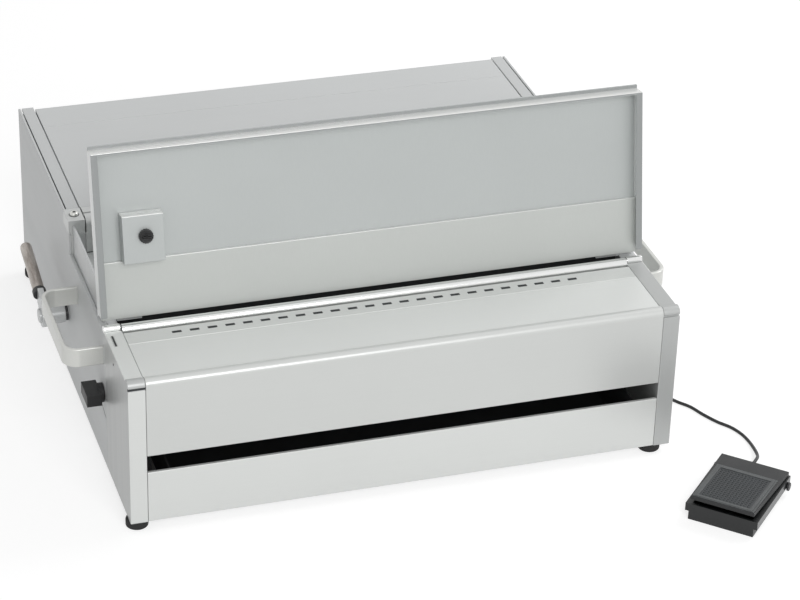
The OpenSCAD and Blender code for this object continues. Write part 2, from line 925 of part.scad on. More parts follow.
module corner_screw_place() {
    translate([half_w - cheek_t / 2, (house_y + block_y) / 2, house_h])
        children();
}

// Cover over the ram and camshaft, between the tray and the housing
module deck_cover() {
    color("silver") machine() {
        block([-fit_w, fit_w], [guide_y + guide_t + seam, house_y - seam], [low_h - panel_t, low_h]);
        block(
            [-fit_w, fit_w],
            [guide_y + guide_t + seam, guide_y + guide_t + seam + panel_t],
            [guide_top - 8, low_h - 1]
        );
        for (s = [-1, 1])
            translate([s * (fit_w - panel_t / 2), 0, 0])
                block(
                    [-panel_t / 2, panel_t / 2],
                    [guide_y + guide_t + seam, house_y - seam],
                    [low_h - cover_flange, low_h - 1]
                );
    }
}

// Front

// Bent sheet: flat top, rolled edge and front
module front_cover() {
    color("whitesmoke") machine() along_x([-fit_w, fit_w]) difference() {
        union() {
            translate([0, drawer_front_h + slot_h])
                square([panel_t, head_h + roll_rise - roll_r - drawer_front_h - slot_h]);
            translate([roll_r, head_h - panel_t])
                square([cover_d - roll_r, panel_t]);
            translate([roll_r, head_h + roll_rise - roll_r])
                circle(r = roll_r);
        }
        translate([roll_r, head_h + roll_rise - roll_r])
            circle(r = roll_r - panel_t);
    }
}

// Black sheet that closes the finger slot above and behind
module slot_panel() {
    color("black") machine() {
        top = drawer_front_h + slot_h;
        block([-fit_w, fit_w], [slot_d, slot_d + drawer_wall], [drawer_front_h + 1, top + 1]);
        block([-fit_w, fit_w], [panel_t + seam, slot_d + drawer_wall], [top + 0.5, top + 2]);
    }
}

// Flat strip with the hole scale
module scale_strip() {
    color("silver") machine()
        block([-fit_w, fit_w], [cover_d + seam, bar_y - bar_groove], [head_h - strip_t, head_h]);
}

// Rounded bar in front of the throat, with an end block at each side
module throat_bar() {
    color("white") machine() {
        block([-fit_w, fit_w], [bar_y, throat_y], [die_top, bar_top - bar_d / 2]);
        bar_x([-fit_w, fit_w], bar_y + bar_d / 2, bar_top - bar_d / 2, bar_d / 2);
        for (s = [0, 1])
            mirror([s, 0, 0]) {
                end_d = throat_y - cheek_d - seam;
                end_x = [fit_w + bar_joint, half_w];
                intersection() {
                    union() {
                        block(end_x, [cheek_d + seam, throat_y], [low_h, bar_top - end_d / 2]);
                        bar_x(end_x, throat_y - end_d / 2, bar_top - end_d / 2, end_d / 2);
                    }
                    block([in_w, half_w + 1], [0, guide_y], [low_h, bar_top + 1]);
                }
            }
    }
}

// Chip drawer and the rails that it runs on
module chip_drawer() {
    color("silver") machine() {
        block([seam - in_w, in_w - seam], [0, drawer_front_t], [0.5, drawer_front_h]);
        difference() {
            block(
                [-drawer_hw, drawer_hw],
                [drawer_front_t - 0.5, drawer_front_t + drawer_d],
                [drawer_z, drawer_z + drawer_h]
            );
            block(
                [drawer_wall - drawer_hw, drawer_hw - drawer_wall],
                [drawer_front_t + drawer_wall, drawer_front_t + drawer_d - drawer_wall],
                [drawer_z + drawer_wall, drawer_z + drawer_h + 1]
            );
        }
    }
}

module drawer_rails() {
    color("dimgray") machine() for (s = [0, 1])
        mirror([s, 0, 0]) {
            x = drawer_hw + drawer_gap;
            y = [drawer_front_t + 4, drawer_front_t + drawer_d];
            block([x - rail_w, x], y, [base_t, base_t + rail_t]);
            block([x, x + panel_t], y, [base_t, base_t + rail_h]);
        }
}

// Paper tray

// Pan with lipped side flanges and a top wall, all bent forward
module paper_tray() {
    front = ledge_t - flange_d;
    back = ledge_t + tray_t;
    color("silver") machine() slope() {
        block([-tray_w / 2, tray_w / 2], [ledge_t, back], [tray_z0, tray_z1 + top_lip]);
        block([-tray_w / 2, tray_w / 2], [front, back], [tray_z1 - tray_t, tray_z1]);
        for (s = [0, 1])
            mirror([s, 0, 0]) {
                z = [tray_z0 + flange_d * tan(tray_lean), tray_z1];
                block([tray_w / 2 - tray_t, tray_w / 2], [front, back], z);
                block([tray_w / 2 - flange_lip, tray_w / 2], [front, front + tray_t], z);
            }
    }
}

// Lower plate in front of the tray; its top edge is a ledge
module tray_lower_plate() {
    color("silver") machine() slope()
        block([-ledge_w, ledge_w], [0, ledge_t], [tray_z0 - ledge_over, ledge_l]);
}

// Angle brackets that carry the tray on the deck
module tray_brackets() {
    foot_y = frame_front(low_h);
    color("dimgray") machine() for (s = [0, 1])
        mirror([s, 0, 0]) {
            intersection() {
                slope()
                    block(
                        [fit_w - bracket_w, fit_w],
                        [ledge_t + tray_t, ledge_t + tray_t + bracket_t],
                        [0, bracket_h]
                    );
                block([0, half_w], [0, body_d], [low_h, house_h]);
            }
            block([fit_w - bracket_w, fit_w], [foot_y, foot_y + bracket_foot], [low_h, low_h + bracket_t]);
        }
}

// Edge guide that slides along the ledge, and its clamp knob
edge_face = ledge_t - edge_gap - edge_t;
edge_knob_at = [edge_x + edge_w - 15, ledge_l + edge_gap + edge_h * 0.57];

module edge_guide() {
    color("gainsboro") machine() slope() difference() {
        block(
            [edge_x, edge_x + edge_w],
            [edge_face, ledge_t - edge_gap],
            [ledge_l + edge_gap, ledge_l + edge_gap + edge_h]
        );
        bar_y_axis(edge_knob_at[0], [edge_face - 1, ledge_t], edge_knob_at[1], edge_screw_r + run_gap);
    }
}

module edge_guide_knob() {
    color("black") machine() slope() {
        x = edge_knob_at[0];
        z = edge_knob_at[1];
        bar_y_axis(x, [edge_face - edge_knob_l - edge_gap, edge_face - edge_gap], z, edge_knob_r);
        bar_y_axis(x, [edge_face - 1, ledge_t - edge_gap - 0.5], z, edge_screw_r);
    }
}

// Paper stop

// Knob on the left side: a round hub and a flat wing across it
knob_face = -half_w - 0.6;
rod_in_wing = wing_l - 4;

module margin_knob() {
    color("black") machine() difference() {
        union() {
            bar_x([knob_face - knob_l - 1, knob_face], stop_y, stop_z, knob_r);
            block(
                [knob_face - knob_l - wing_l, knob_face - knob_l],
                [stop_y - wing_w / 2, stop_y + wing_w / 2],
                [stop_z - wing_h / 2, stop_z + wing_h / 2]
            );
        }
        bar_x([knob_face - knob_l - rod_in_wing, knob_face + 1], stop_y, stop_z, stop_pin_r + 0.01);
    }
}

// Rod that the sheets' edge rests on: an eccentric between two journals
module paper_stop_rod() {
    color("lightgray") machine() {
        bar_x([knob_face - knob_l - rod_in_wing, 1 - in_w], stop_y, stop_z, stop_pin_r);
        bar_x([0.5 - in_w, in_w - 0.5], stop_y, stop_z - stop_ecc, stop_r);
        bar_x([in_w - 1, in_w + frame_t - 0.5], stop_y, stop_z, stop_pin_r);
    }
}

// Carry handles and fixings
handle_ends = [handle_y, handle_y + handle_l - handle_t];

// Rounded rectangle with one corner at the origin
module rounded(w, d, r) {
    translate([r, 0])
        square([w - 2 * r, d]);
    translate([0, r])
        square([w, d - 2 * r]);
    for (x = [r, w - r], y = [r, d - r])
        translate([x, y])
            circle(r = r);
}

// Flat band bent to a loop; its ends pass through the panel, with a tab turned in behind it
module carry_handle(out) {
    machine() translate([half_w, handle_y, handle_z - handle_h / 2])
        linear_extrude(handle_h) {
            difference() {
                translate([-out, 0])
                    rounded(2 * out, handle_l, handle_r);
                translate([handle_t - out, handle_t])
                    rounded(2 * (out - handle_t), handle_l - 2 * handle_t, handle_r - handle_t);
                translate([-out - 1, -1])
                    square([out + 1 - panel_t - tab_t, handle_l + 2]);
            }
            for (y = [handle_t - 0.5, handle_l - handle_t - handle_tab])
                translate([-panel_t - tab_t, y])
                    square([tab_t, handle_tab + 0.5]);
        }
}

module carry_handle_left() {
    color("gainsboro") left_side() carry_handle(handle_out);
}

module carry_handle_right() {
    color("gainsboro") carry_handle(right_out);
}

// Pan-head screws of the housing's corners
module screws() {
    color("dimgray") machine() for (s = [0, 1])
        mirror([s, 0, 0])
            corner_screw_place() screw();
}

// Lock lever

lever_x = -half_w - lever_out;

// Flat arm from the pivot up to the grip, with its end square to the grip
module lock_arm() {
    neck = [arm_back, arm_rise] - arm_w / 2 * [cos(grip_tilt), sin(grip_tilt)];
    color("silver") machine() difference() {
        along_x([lever_x - arm_t / 2, lever_x + arm_t / 2])
            translate([lever_y, lever_z]) {
                circle(r = arm_w / 2 + 2);
                rotate(atan2(neck[1], neck[0]))
                    translate([0, -arm_w / 2])
                        square([norm(neck), arm_w]);
                translate(neck)
                    circle(r = arm_w / 2);
                translate(neck)
                    rotate(grip_tilt)
                        translate([0, -arm_w / 2])
                            square([arm_w / 2, arm_w]);
            }
        bar_x([lever_x - arm_t, lever_x + arm_t], lever_y, lever_z, lever_pin_r + 0.01);
    }
}

// The grip's own frame: its axis along +Z, from the collar's foot on the arm's end
module grip_place() {
    translate([lever_x, lever_y + arm_back, lever_z + arm_rise])
        rotate([grip_tilt - 90, 0, 0])
            children();
}

// Round grip with its collar
module lock_grip() {
    color("rosybrown") machine() grip_place() {
        cylinder(h = collar_l, r = collar_r);
        translate([0, 0, collar_l - 1])
            cylinder(h = grip_l - collar_l + 1, r = grip_r);
    }
}

// Shaft through the panel and the frame, with the lock cam on its inner end
module lock_shaft() {
    color("gray") machine() {
        bar_x([lever_x - arm_t / 2 - 2, seam - in_w], lever_y, lever_z, lever_pin_r);
        bar_x([seam - in_w, 6 - in_w], lever_y + 2, lever_z, lever_pin_r + 3);
        bar_x([lever_x + arm_t / 2, -half_w - 3], lever_y, lever_z, lever_pin_r + 2);
    }
}

// Punch

module die_plate() {
    color("gray") machine() difference() {
        block([-fit_w, fit_w], [throat_y - die_t, throat_y], [die_z, die_top]);
        punch_row([throat_y - die_t - 1, throat_y + 1], hole_w + 2 * pin_gap, hole_h + 2 * pin_gap);
    }
}

module pin_guide_plate() {
    color("gray") machine() difference() {
        block([-fit_w, fit_w], [guide_y, guide_y + guide_t], [die_z, guide_top]);
        punch_row([guide_y - 1, guide_y + guide_t + 1], hole_w + 2 * pin_gap, hole_h + 2 * pin_gap);
    }
}

// Row of pins, each with a head behind the retainer
module punch_pins() {
    color("lightsteelblue") machine() {
        punch_row([pin_tip_y, pin_head_y + 1], hole_w, hole_h);
        punch_row([pin_head_y, press_y], hole_w + 3, hole_h + 3);
    }
}

module pin_retainer() {
    color("gray") machine() difference() {
        block(
            [-retainer_w / 2, retainer_w / 2],
            [retainer_y, pin_head_y],
            [punch_z - retainer_h / 2, punch_z + retainer_h / 2]
        );
        punch_row([retainer_y - 1, pin_head_y + 1], hole_w + pin_gap, hole_h + pin_gap);
    }
}

module pressure_bar() {
    color("dimgray") machine() difference() {
        block([-press_w, press_w], [press_y, press_back], [punch_z - press_h / 2, punch_z + press_h / 2]);
        // Room for the drive gear
        block(
            [-gear_w / 2 - gear_room, gear_w / 2 + gear_room],
            [cam_y - gear_r - gear_m - gear_room, press_back + 1],
            [punch_z - press_h, punch_z + press_h]
        );
    }
}

// Guide blocks above and below the pressure bar's ends
module ram_guides() {
    color("goldenrod") machine() for (s = [0, 1], k = [-1, 1])
        mirror([s, 0, 0])
            translate([0, 0, punch_z + k * (press_h / 2 + gib_gap + gib_h / 2)])
                block([in_w - 13, fit_w], [gib_y, gib_y + gib_l], [-gib_h / 2, gib_h / 2]);
}

// Yokes: two slotted bars beside each cam, with a follower pin before and behind it
module ram_yokes() {
    front_y = cam_y - cam_r - cam_gap - follower_r;
    back_y = cam_y + cam_r + stroke + cam_gap + follower_r;
    color("slategray") machine() for (s = [-1, 1])
        translate([s * cam_x, 0, 0]) {
            for (k = [-1, 1])
                difference() {
                    translate([k * (yoke_in + yoke_t / 2), 0, 0])
                        block(
                            [-yoke_t / 2, yoke_t / 2],
                            [press_back, yoke_back],
                            [punch_z - yoke_h / 2, punch_z + yoke_h / 2]
                        );
                    x = [k * yoke_in - yoke_t - 1, k * yoke_in + yoke_t + 1];
                    bar_x(x, cam_y, punch_z, slot_r);
                    bar_x(x, cam_y + stroke, punch_z, slot_r);
                    block(x, [cam_y, cam_y + stroke], [punch_z - slot_r, punch_z + slot_r]);
                }
            for (y = [front_y, back_y])
                bar_x([-yoke_in, yoke_in], y, punch_z, follower_r);
        }
}

// Drive

module camshaft() {
    color("lightgray") machine()
        bar_x([-shaft_end, shaft_end], cam_y, punch_z, shaft_r);
}

// Heart cams, drawn with their least radius towards the ram
module cams() {
    color("slategray") machine() for (s = [-1, 1])
        difference() {
            translate([0, cam_y, punch_z])
                along_x([s * cam_x - cam_w / 2, s * cam_x + cam_w / 2])
                    polygon(cam_outline());
            bar_x([s * cam_x - cam_w, s * cam_x + cam_w], cam_y, punch_z, shaft_r + 0.01);
        }
}

// Flanged bearings in the side frames
module camshaft_bearings() {
    color("goldenrod") machine() for (s = [0, 1])
        mirror([s, 0, 0])
            difference() {
                union() {
                    bar_x([in_w, in_w + frame_t], cam_y, punch_z, bearing_r - 0.02);
                    bar_x([in_w - 3, in_w], cam_y, punch_z, bearing_r + 3);
                }
                bar_x([in_w - 4, in_w + frame_t + 1], cam_y, punch_z, shaft_r + run_gap);
            }
}

module drive_gear() {
    color("darkgray") machine() difference() {
        translate([0, cam_y, punch_z]) {
            along_x([-gear_w / 2, gear_w / 2])
                polygon(gear_outline(gear_teeth));
            bar_x([-gear_w, gear_w / 2], 0, 0, shaft_r + 6);
        }
        bar_x([-gear_w - 1, gear_w], cam_y, punch_z, shaft_r + 0.01);
    }
}

// Pinion cut on the gearbox's output shaft, with a gap between two teeth towards the drive gear
module pinion() {
    color("darkgray") machine() translate([0, pinion_y, punch_z]) {
        along_x([-gear_w / 2, gear_w / 2])
            rotate(180 / pinion_teeth)
                polygon(gear_outline(pinion_teeth));
        bar_x([-gear_w / 2 - 3, gearbox_x + gearbox_bore - 1], 0, 0, pinion_r);
    }
}

module gearbox() {
    s = gearbox_s / 2;
    color("dimgray") machine() difference() {
        block([gearbox_x, motor_x], [pinion_y - s, pinion_y + s], [punch_z - s, punch_z + s]);
        bar_x([gearbox_x - 1, gearbox_x + gearbox_bore], pinion_y, punch_z, pinion_r + run_gap);
    }
}

module motor() {
    color("darkslategray") machine() {
        bar_x([motor_x, motor_x + motor_l], pinion_y, punch_z, motor_r);
        bar_x([motor_x + motor_l - 1, motor_x + motor_l + 3], pinion_y, punch_z, motor_r * 0.4);
    }
}

// Angle bracket that carries the gearbox, with a saddle under the motor
module motor_bracket() {
    s = gearbox_s / 2 + 3;
    saddle_x = motor_x + motor_l * 0.45;
    saddle_w = 20;
    color("dimgray") machine() difference() {
        union() {
            block([bracket_x, gearbox_x], [pinion_y - s, pinion_y + s], [base_t, punch_z + s]);
            block(
                [bracket_x, saddle_x + saddle_w],
                [pinion_y - s, pinion_y + s],
                [base_t, base_t + motor_bracket_t]
            );
            block(
                [saddle_x, saddle_x + saddle_w],
                [pinion_y - s + 4, pinion_y + s - 4],
                [base_t, punch_z - motor_r * 0.6]
            );
        }
        bar_x([bracket_x - 1, gearbox_x + 1], pinion_y, punch_z, pinion_r + 3);
        bar_x([motor_x, motor_x + motor_l + 1], pinion_y, punch_z, motor_r + 0.2);
    }
}

// Electrics
inlet_cut = [28, 21];
switch_cut = [22, 28];
rocker_w = 15;
rocker_h = 20;
rocker_d = 9;
rocker_in = 4;
rocker_face = 7;
rocker_tilt = 8;
rocker_pin_r = 1.5;
board_t = 1.6;
transformer_at = [10, 14];
transformer_w = 52;
transformer_d = 42;
capacitor_x = [78, 100];
capacitor_y = 22;
capacitor_r = 8;
capacitor_h = 28;
relay_at = [74, 46];
relay_s = [30, 16, 18];

// Control board on spacers, with its transformer, capacitors and relay
module control_board() {
    x0 = -in_w + 24;
    y0 = rear_y - panel_t - 24 - board_d;
    z0 = base_t + spacer_h;
    color("darkgreen") machine() {
        for (x = [6, board_w - 6], y = [6, board_d - 6])
            translate([x0 + x, y0 + y, base_t])
                cylinder(h = spacer_h + 0.5, r = 3);
        block([x0, x0 + board_w], [y0, y0 + board_d], [z0, z0 + board_t]);
        block(
            [x0 + transformer_at[0], x0 + transformer_at[0] + transformer_w],
            [y0 + transformer_at[1], y0 + transformer_at[1] + transformer_d],
            [z0 + 1, z0 + transformer_h]
        );
        for (x = capacitor_x)
            translate([x0 + x, y0 + capacitor_y, z0 + 1])
                cylinder(h = capacitor_h, r = capacitor_r);
        block(
            [x0 + relay_at[0], x0 + relay_at[0] + relay_s[0]],
            [y0 + relay_at[1], y0 + relay_at[1] + relay_s[1]],
            [z0 + 1, z0 + relay_s[2]]
        );
    }
}

// Three-pin inlet with a flange on the rear panel
module power_inlet() {
    color("black") machine() translate([-inlet_x, rear_y, inlet_z]) {
        w = inlet_cut[0] / 2 - 0.3;
        h = inlet_cut[1] / 2 - 0.3;
        difference() {
            union() {
                block([-w - 6, w + 6], [0, 2.4], [-h - 3, h + 3]);
                block([-w, w], [-24, 1], [-h, h]);
            }
            block([2 - w, w - 2], [-18, 3], [2 - h, h - 2]);
        }
        for (p = [[-7, -1.5], [0, 2], [7, -1.5]])
            block([p[0] - 1, p[0] + 1], [-19, -3], [p[1] - 2, p[1] + 2]);
    }
}

// Bezel of the power switch
module power_switch() {
    color("black") machine() translate([-switch_x, rear_y, inlet_z]) {
        w = switch_cut[0] / 2 - 0.3;
        h = switch_cut[1] / 2 - 0.3;
        difference() {
            union() {
                block([-w - 2, w + 2], [0, 1.6], [-h - 2, h + 2]);
                block([-w, w], [-22, 1], [-h, h]);
            }
            block(
                [-rocker_w / 2 - 0.4, rocker_w / 2 + 0.4],
                [-15, 3],
                [-rocker_h / 2 - 2, rocker_h / 2 + 2]
            );
            bar_x([-rocker_w / 2 - 2.5, rocker_w / 2 + 2.5], -rocker_in, 0, rocker_pin_r + run_gap);
        }
    }
}

// Rocker on two stub pivots, tilted to off
module power_rocker() {
    color("black") machine() translate([-switch_x, rear_y - rocker_in, inlet_z])
        rotate([-rocker_tilt, 0, 0]) {
            difference() {
                block(
                    [-rocker_w / 2, rocker_w / 2],
                    [-rocker_d / 2, rocker_face],
                    [-rocker_h / 2, rocker_h / 2]
                );
                for (s = [-1, 1])
                    translate([-rocker_w, rocker_face, 0])
                        rotate([s * rocker_tilt, 0, 0])
                            translate([0, 0, s > 0 ? 0 : -rocker_h])
                                cube([2 * rocker_w, 6, rocker_h]);
            }
            bar_x([-rocker_w / 2 - 2.2, rocker_w / 2 + 2.2], 0, 0, rocker_pin_r);
        }
}

module rubber_feet() {
    color("black") for (x = [-1, 1], y = [foot_in, body_d - foot_in])
        translate([x * (half_w - foot_side) + foot_shift, y - body_d / 2, 0])
            cylinder(h = foot_h, r = foot_r);
}

// Foot switch

// Base: a tub with rimmed side walls that hold the hinge pin, and the cord's moulded boot
module pedal_base() {
    w = pedal_w / 2;
    l = pedal_l / 2;
    color("black") pedal() difference() {
        union() {
            block([-w, w], [-l, l], [0, pedal_h]);
            block([-w - rim_out, w + rim_out], [-l, l], [pedal_h - rim_h, pedal_h]);
            translate([boot_x, l - 1, boot_z])
                rotate([-90, 0, 0])
                    cylinder(h = boot_l + 1, r1 = 4.2, r2 = cord_r + 0.6);
        }
        block([-pedal_in_w, pedal_in_w], [pedal_wall - l, l - pedal_wall], [pedal_floor, pedal_h + 1]);
        bar_x([-w - rim_out - 1, w + rim_out + 1], hinge_y, hinge_z, hinge_r + 0.01);
    }
}

// The treadle's own frame: its hinge at the origin, its plate level
module treadle_place() {
    pedal() translate([0, hinge_y, hinge_z])
        rotate([-treadle_tilt, 0, 0])
            children();
}

// Treadle: tapered plate with a bordered pad, and two hinge lugs under it
module pedal_treadle() {
    top = treadle_under + treadle_t;
    back = treadle_back_w / 2;
    front = treadle_front_w / 2;
    color("darkslategray") treadle_place() difference() {
        union() {
            translate([0, 0, treadle_under])
                linear_extrude(treadle_t)
                    polygon([
                        [-back, treadle_back],
                        [-front, treadle_front],
                        [front, treadle_front],
                        [back, treadle_back]
                    ]);
            difference() {
                block([-pad_w / 2, pad_w / 2], [pad_front, pad_front + pad_l], [top - 1, top + pad_rise]);
                block(
                    [pad_border - pad_w / 2, pad_w / 2 - pad_border],
                    [pad_front + pad_border, pad_front + pad_l - pad_border],
                    [top - 2, top + pad_rise + 1]
                );
            }
            for (s = [-1, 1])
                translate([s * (lug_x - lug_w / 2), 0, 0]) {
                    block([-lug_w / 2, lug_w / 2], [-lug_r, lug_r], [0, treadle_under + 1]);
                    bar_x([-lug_w / 2, lug_w / 2], 0, 0, lug_r);
                }
        }
        bar_x([-back, back], 0, 0, hinge_r + run_gap);
    }
}

// Hinge pin with a round head at each end
module pedal_pin() {
    w = pedal_w / 2 + rim_out + 0.1;
    color("black") pedal() {
        bar_x([-w - 1, w + 1], hinge_y, hinge_z, hinge_r);
        for (x = [-w - 2, w])
            bar_x([x, x + 2], hinge_y, hinge_z, hinge_r + 1.5);
    }
}

module pedal_spring() {
    color("silver") pedal()
        tube(spring_path, spring_wire, 6, [0, 0, 1]);
}

// Switch in the base, with its plunger under the treadle
module pedal_switch() {
    case_h = 8;
    color("dimgray") pedal() {
        block([-10, 10], [switch_y - 6, switch_y + 6], [pedal_floor, pedal_floor + case_h]);
        translate([0, switch_y, pedal_floor])
            cylinder(h = treadle_z(switch_y) - pedal_floor - plunger_gap, r = 1.8);
    }
}

// Cord

// Gland on the rear panel: a nut inside, a collar and a tapered sleeve outside
module cord_gland() {
    color("black") machine() translate([gland_x, rear_y, gland_z])
        rotate([-90, 0, 0]) {
            translate([0, 0, -panel_t - 4])
                cylinder(h = 4, r = gland_r + 3);
            translate([0, 0, -panel_t - 1])
                cylinder(h = panel_t + 2, r = gland_r - 0.02);
            cylinder(h = 3, r = gland_r + 2);
            translate([0, 0, 2])
                cylinder(h = gland_l - 2, r1 = gland_r - 1, r2 = cord_r + 0.8);
        }
}

module cord_lead() {
    color("black") tube(curve(lead_points, 2), cord_r, 8, [1, 1, 0.3]);
}

module cord_coil() {
    color("black") tube(coil_path, cord_r, 6, [0, 0, 1]);
}

module cord_run() {
    color("black") tube(curve(run_points, 3), cord_r, 8, [0, 0, 1]);
}

base_plate();
side_frame_left();
side_frame_right();
cheek_left();
cheek_right();
side_panel_left();
side_panel_right();
rear_panel();
rear_top_cover();
housing_front();
corner_blocks();
deck_cover();
front_cover();
slot_panel();
scale_strip();
throat_bar();
paper_tray();
tray_lower_plate();
tray_brackets();
edge_guide();
edge_guide_knob();
margin_knob();
paper_stop_rod();
carry_handle_left();
carry_handle_right();
screws();
lock_arm();
lock_grip();
lock_shaft();
chip_drawer();
drawer_rails();
die_plate();
pin_guide_plate();
punch_pins();
pin_retainer();
pressure_bar();
ram_guides();
ram_yokes();
camshaft();
cams();
camshaft_bearings();
drive_gear();
pinion();
gearbox();
motor();
motor_bracket();
control_board();
power_inlet();
power_switch();
power_rocker();
rubber_feet();
pedal_base();
pedal_treadle();
pedal_pin();
pedal_spring();
pedal_switch();
cord_gland();
cord_lead();
cord_coil();
cord_run();
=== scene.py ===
"""Electric binding punch with a foot switch on a cord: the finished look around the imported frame.

Sizes are in millimetres. Those of the machine count depth from its front face and height from the
underside of its body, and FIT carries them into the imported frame, which is in metres.
"""

import json
import logging
import math
from dataclasses import dataclass
from enum import Enum

import bmesh
import bpy
from mathutils import Matrix, Vector

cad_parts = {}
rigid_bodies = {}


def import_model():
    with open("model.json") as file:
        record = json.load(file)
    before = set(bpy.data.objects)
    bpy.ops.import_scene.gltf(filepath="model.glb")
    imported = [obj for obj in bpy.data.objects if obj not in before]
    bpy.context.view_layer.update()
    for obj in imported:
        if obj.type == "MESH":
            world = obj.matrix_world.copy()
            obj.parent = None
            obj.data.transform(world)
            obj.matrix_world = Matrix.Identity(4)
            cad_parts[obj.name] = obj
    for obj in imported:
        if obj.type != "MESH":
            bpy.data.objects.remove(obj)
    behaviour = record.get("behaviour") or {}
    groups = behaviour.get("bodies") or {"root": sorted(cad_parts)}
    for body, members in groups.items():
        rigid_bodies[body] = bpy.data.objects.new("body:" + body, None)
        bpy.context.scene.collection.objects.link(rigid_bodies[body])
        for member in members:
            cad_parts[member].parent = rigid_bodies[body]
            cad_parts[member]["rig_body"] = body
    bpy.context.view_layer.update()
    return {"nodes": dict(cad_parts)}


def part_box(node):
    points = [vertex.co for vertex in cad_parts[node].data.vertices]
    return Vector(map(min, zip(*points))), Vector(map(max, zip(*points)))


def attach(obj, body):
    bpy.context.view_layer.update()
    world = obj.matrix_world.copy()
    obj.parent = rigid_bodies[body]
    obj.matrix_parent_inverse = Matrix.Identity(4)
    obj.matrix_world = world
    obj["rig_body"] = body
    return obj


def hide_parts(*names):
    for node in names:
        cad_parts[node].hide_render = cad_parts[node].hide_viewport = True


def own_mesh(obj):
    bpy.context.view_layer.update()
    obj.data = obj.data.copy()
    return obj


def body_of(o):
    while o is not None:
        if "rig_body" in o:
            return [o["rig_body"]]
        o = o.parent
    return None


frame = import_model()

LOG = logging.getLogger("binding_punch")

Color = tuple[float, float, float]
Point = tuple[float, float, float]
Profile = tuple[tuple[float, float], ...]

WHITE: Color = (1.0, 1.0, 1.0)

MILLIMETRE = Matrix.Scale(0.001, 4)
FIT = Matrix.Translation((0.0, -0.215, 0.007)) @ MILLIMETRE
SLOPE = FIT @ Matrix.Translation((0.0, 94.2, 118.5)) @ Matrix.Rotation(math.radians(-10.0), 4, "X")
PEDAL = MILLIMETRE @ Matrix.Translation((248.3, -302.5, 0.0)) @ Matrix.Rotation(math.radians(-43.8), 4, "Z")
TREADLE = PEDAL @ Matrix.Translation((0.0, 32.0, 8.0)) @ Matrix.Rotation(math.radians(-3.0), 4, "X")


class Facing(Enum):
    """Where the axis of a turned or raised shape points, which is drawn along +Z."""

    LEFT = (-90.0, "Y")
    BACK = (-90.0, "X")
    FRONT = (90.0, "X")

    @property
    def turn(self) -> Matrix:
        """Gives the rotation that takes +Z to this direction."""
        degrees, axis = self.value
        return Matrix.Rotation(math.radians(degrees), 4, axis)


class Grain(Enum):
    """Direction of the fine lines in a metal's surface, as the stretch of its pattern."""

    NONE = (1.0, 1.0, 1.0)
    ALONG_X = (0.015, 1.0, 1.0)
    ALONG_Y = (1.0, 0.015, 1.0)
    ALONG_Z = (1.0, 1.0, 0.015)


class Zone(Enum):
    """Own frame of a part of the object, in which places on that part are given."""

    BODY = "body"
    SLOPE = "slope"
    TREADLE = "treadle"

    @property
    def place(self) -> Matrix:
        """Gives the matrix that carries the zone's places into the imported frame."""
        return {Zone.BODY: FIT, Zone.SLOPE: SLOPE, Zone.TREADLE: TREADLE}[self]


def srgb(red: float, green: float, blue: float) -> Color:
    """Turns a screen colour into linear light.

    Args:
        red: Red, 0 to 255.
        green: Green, 0 to 255.
        blue: Blue, 0 to 255.

    Returns:
        The three linear values.
    """

    def linear(value: float) -> float:
        """Turns one screen value into linear light."""
        share = value / 255.0
        return share / 12.92 if share <= 0.04045 else ((share + 0.055) / 1.055) ** 2.4

    return linear(red), linear(green), linear(blue)


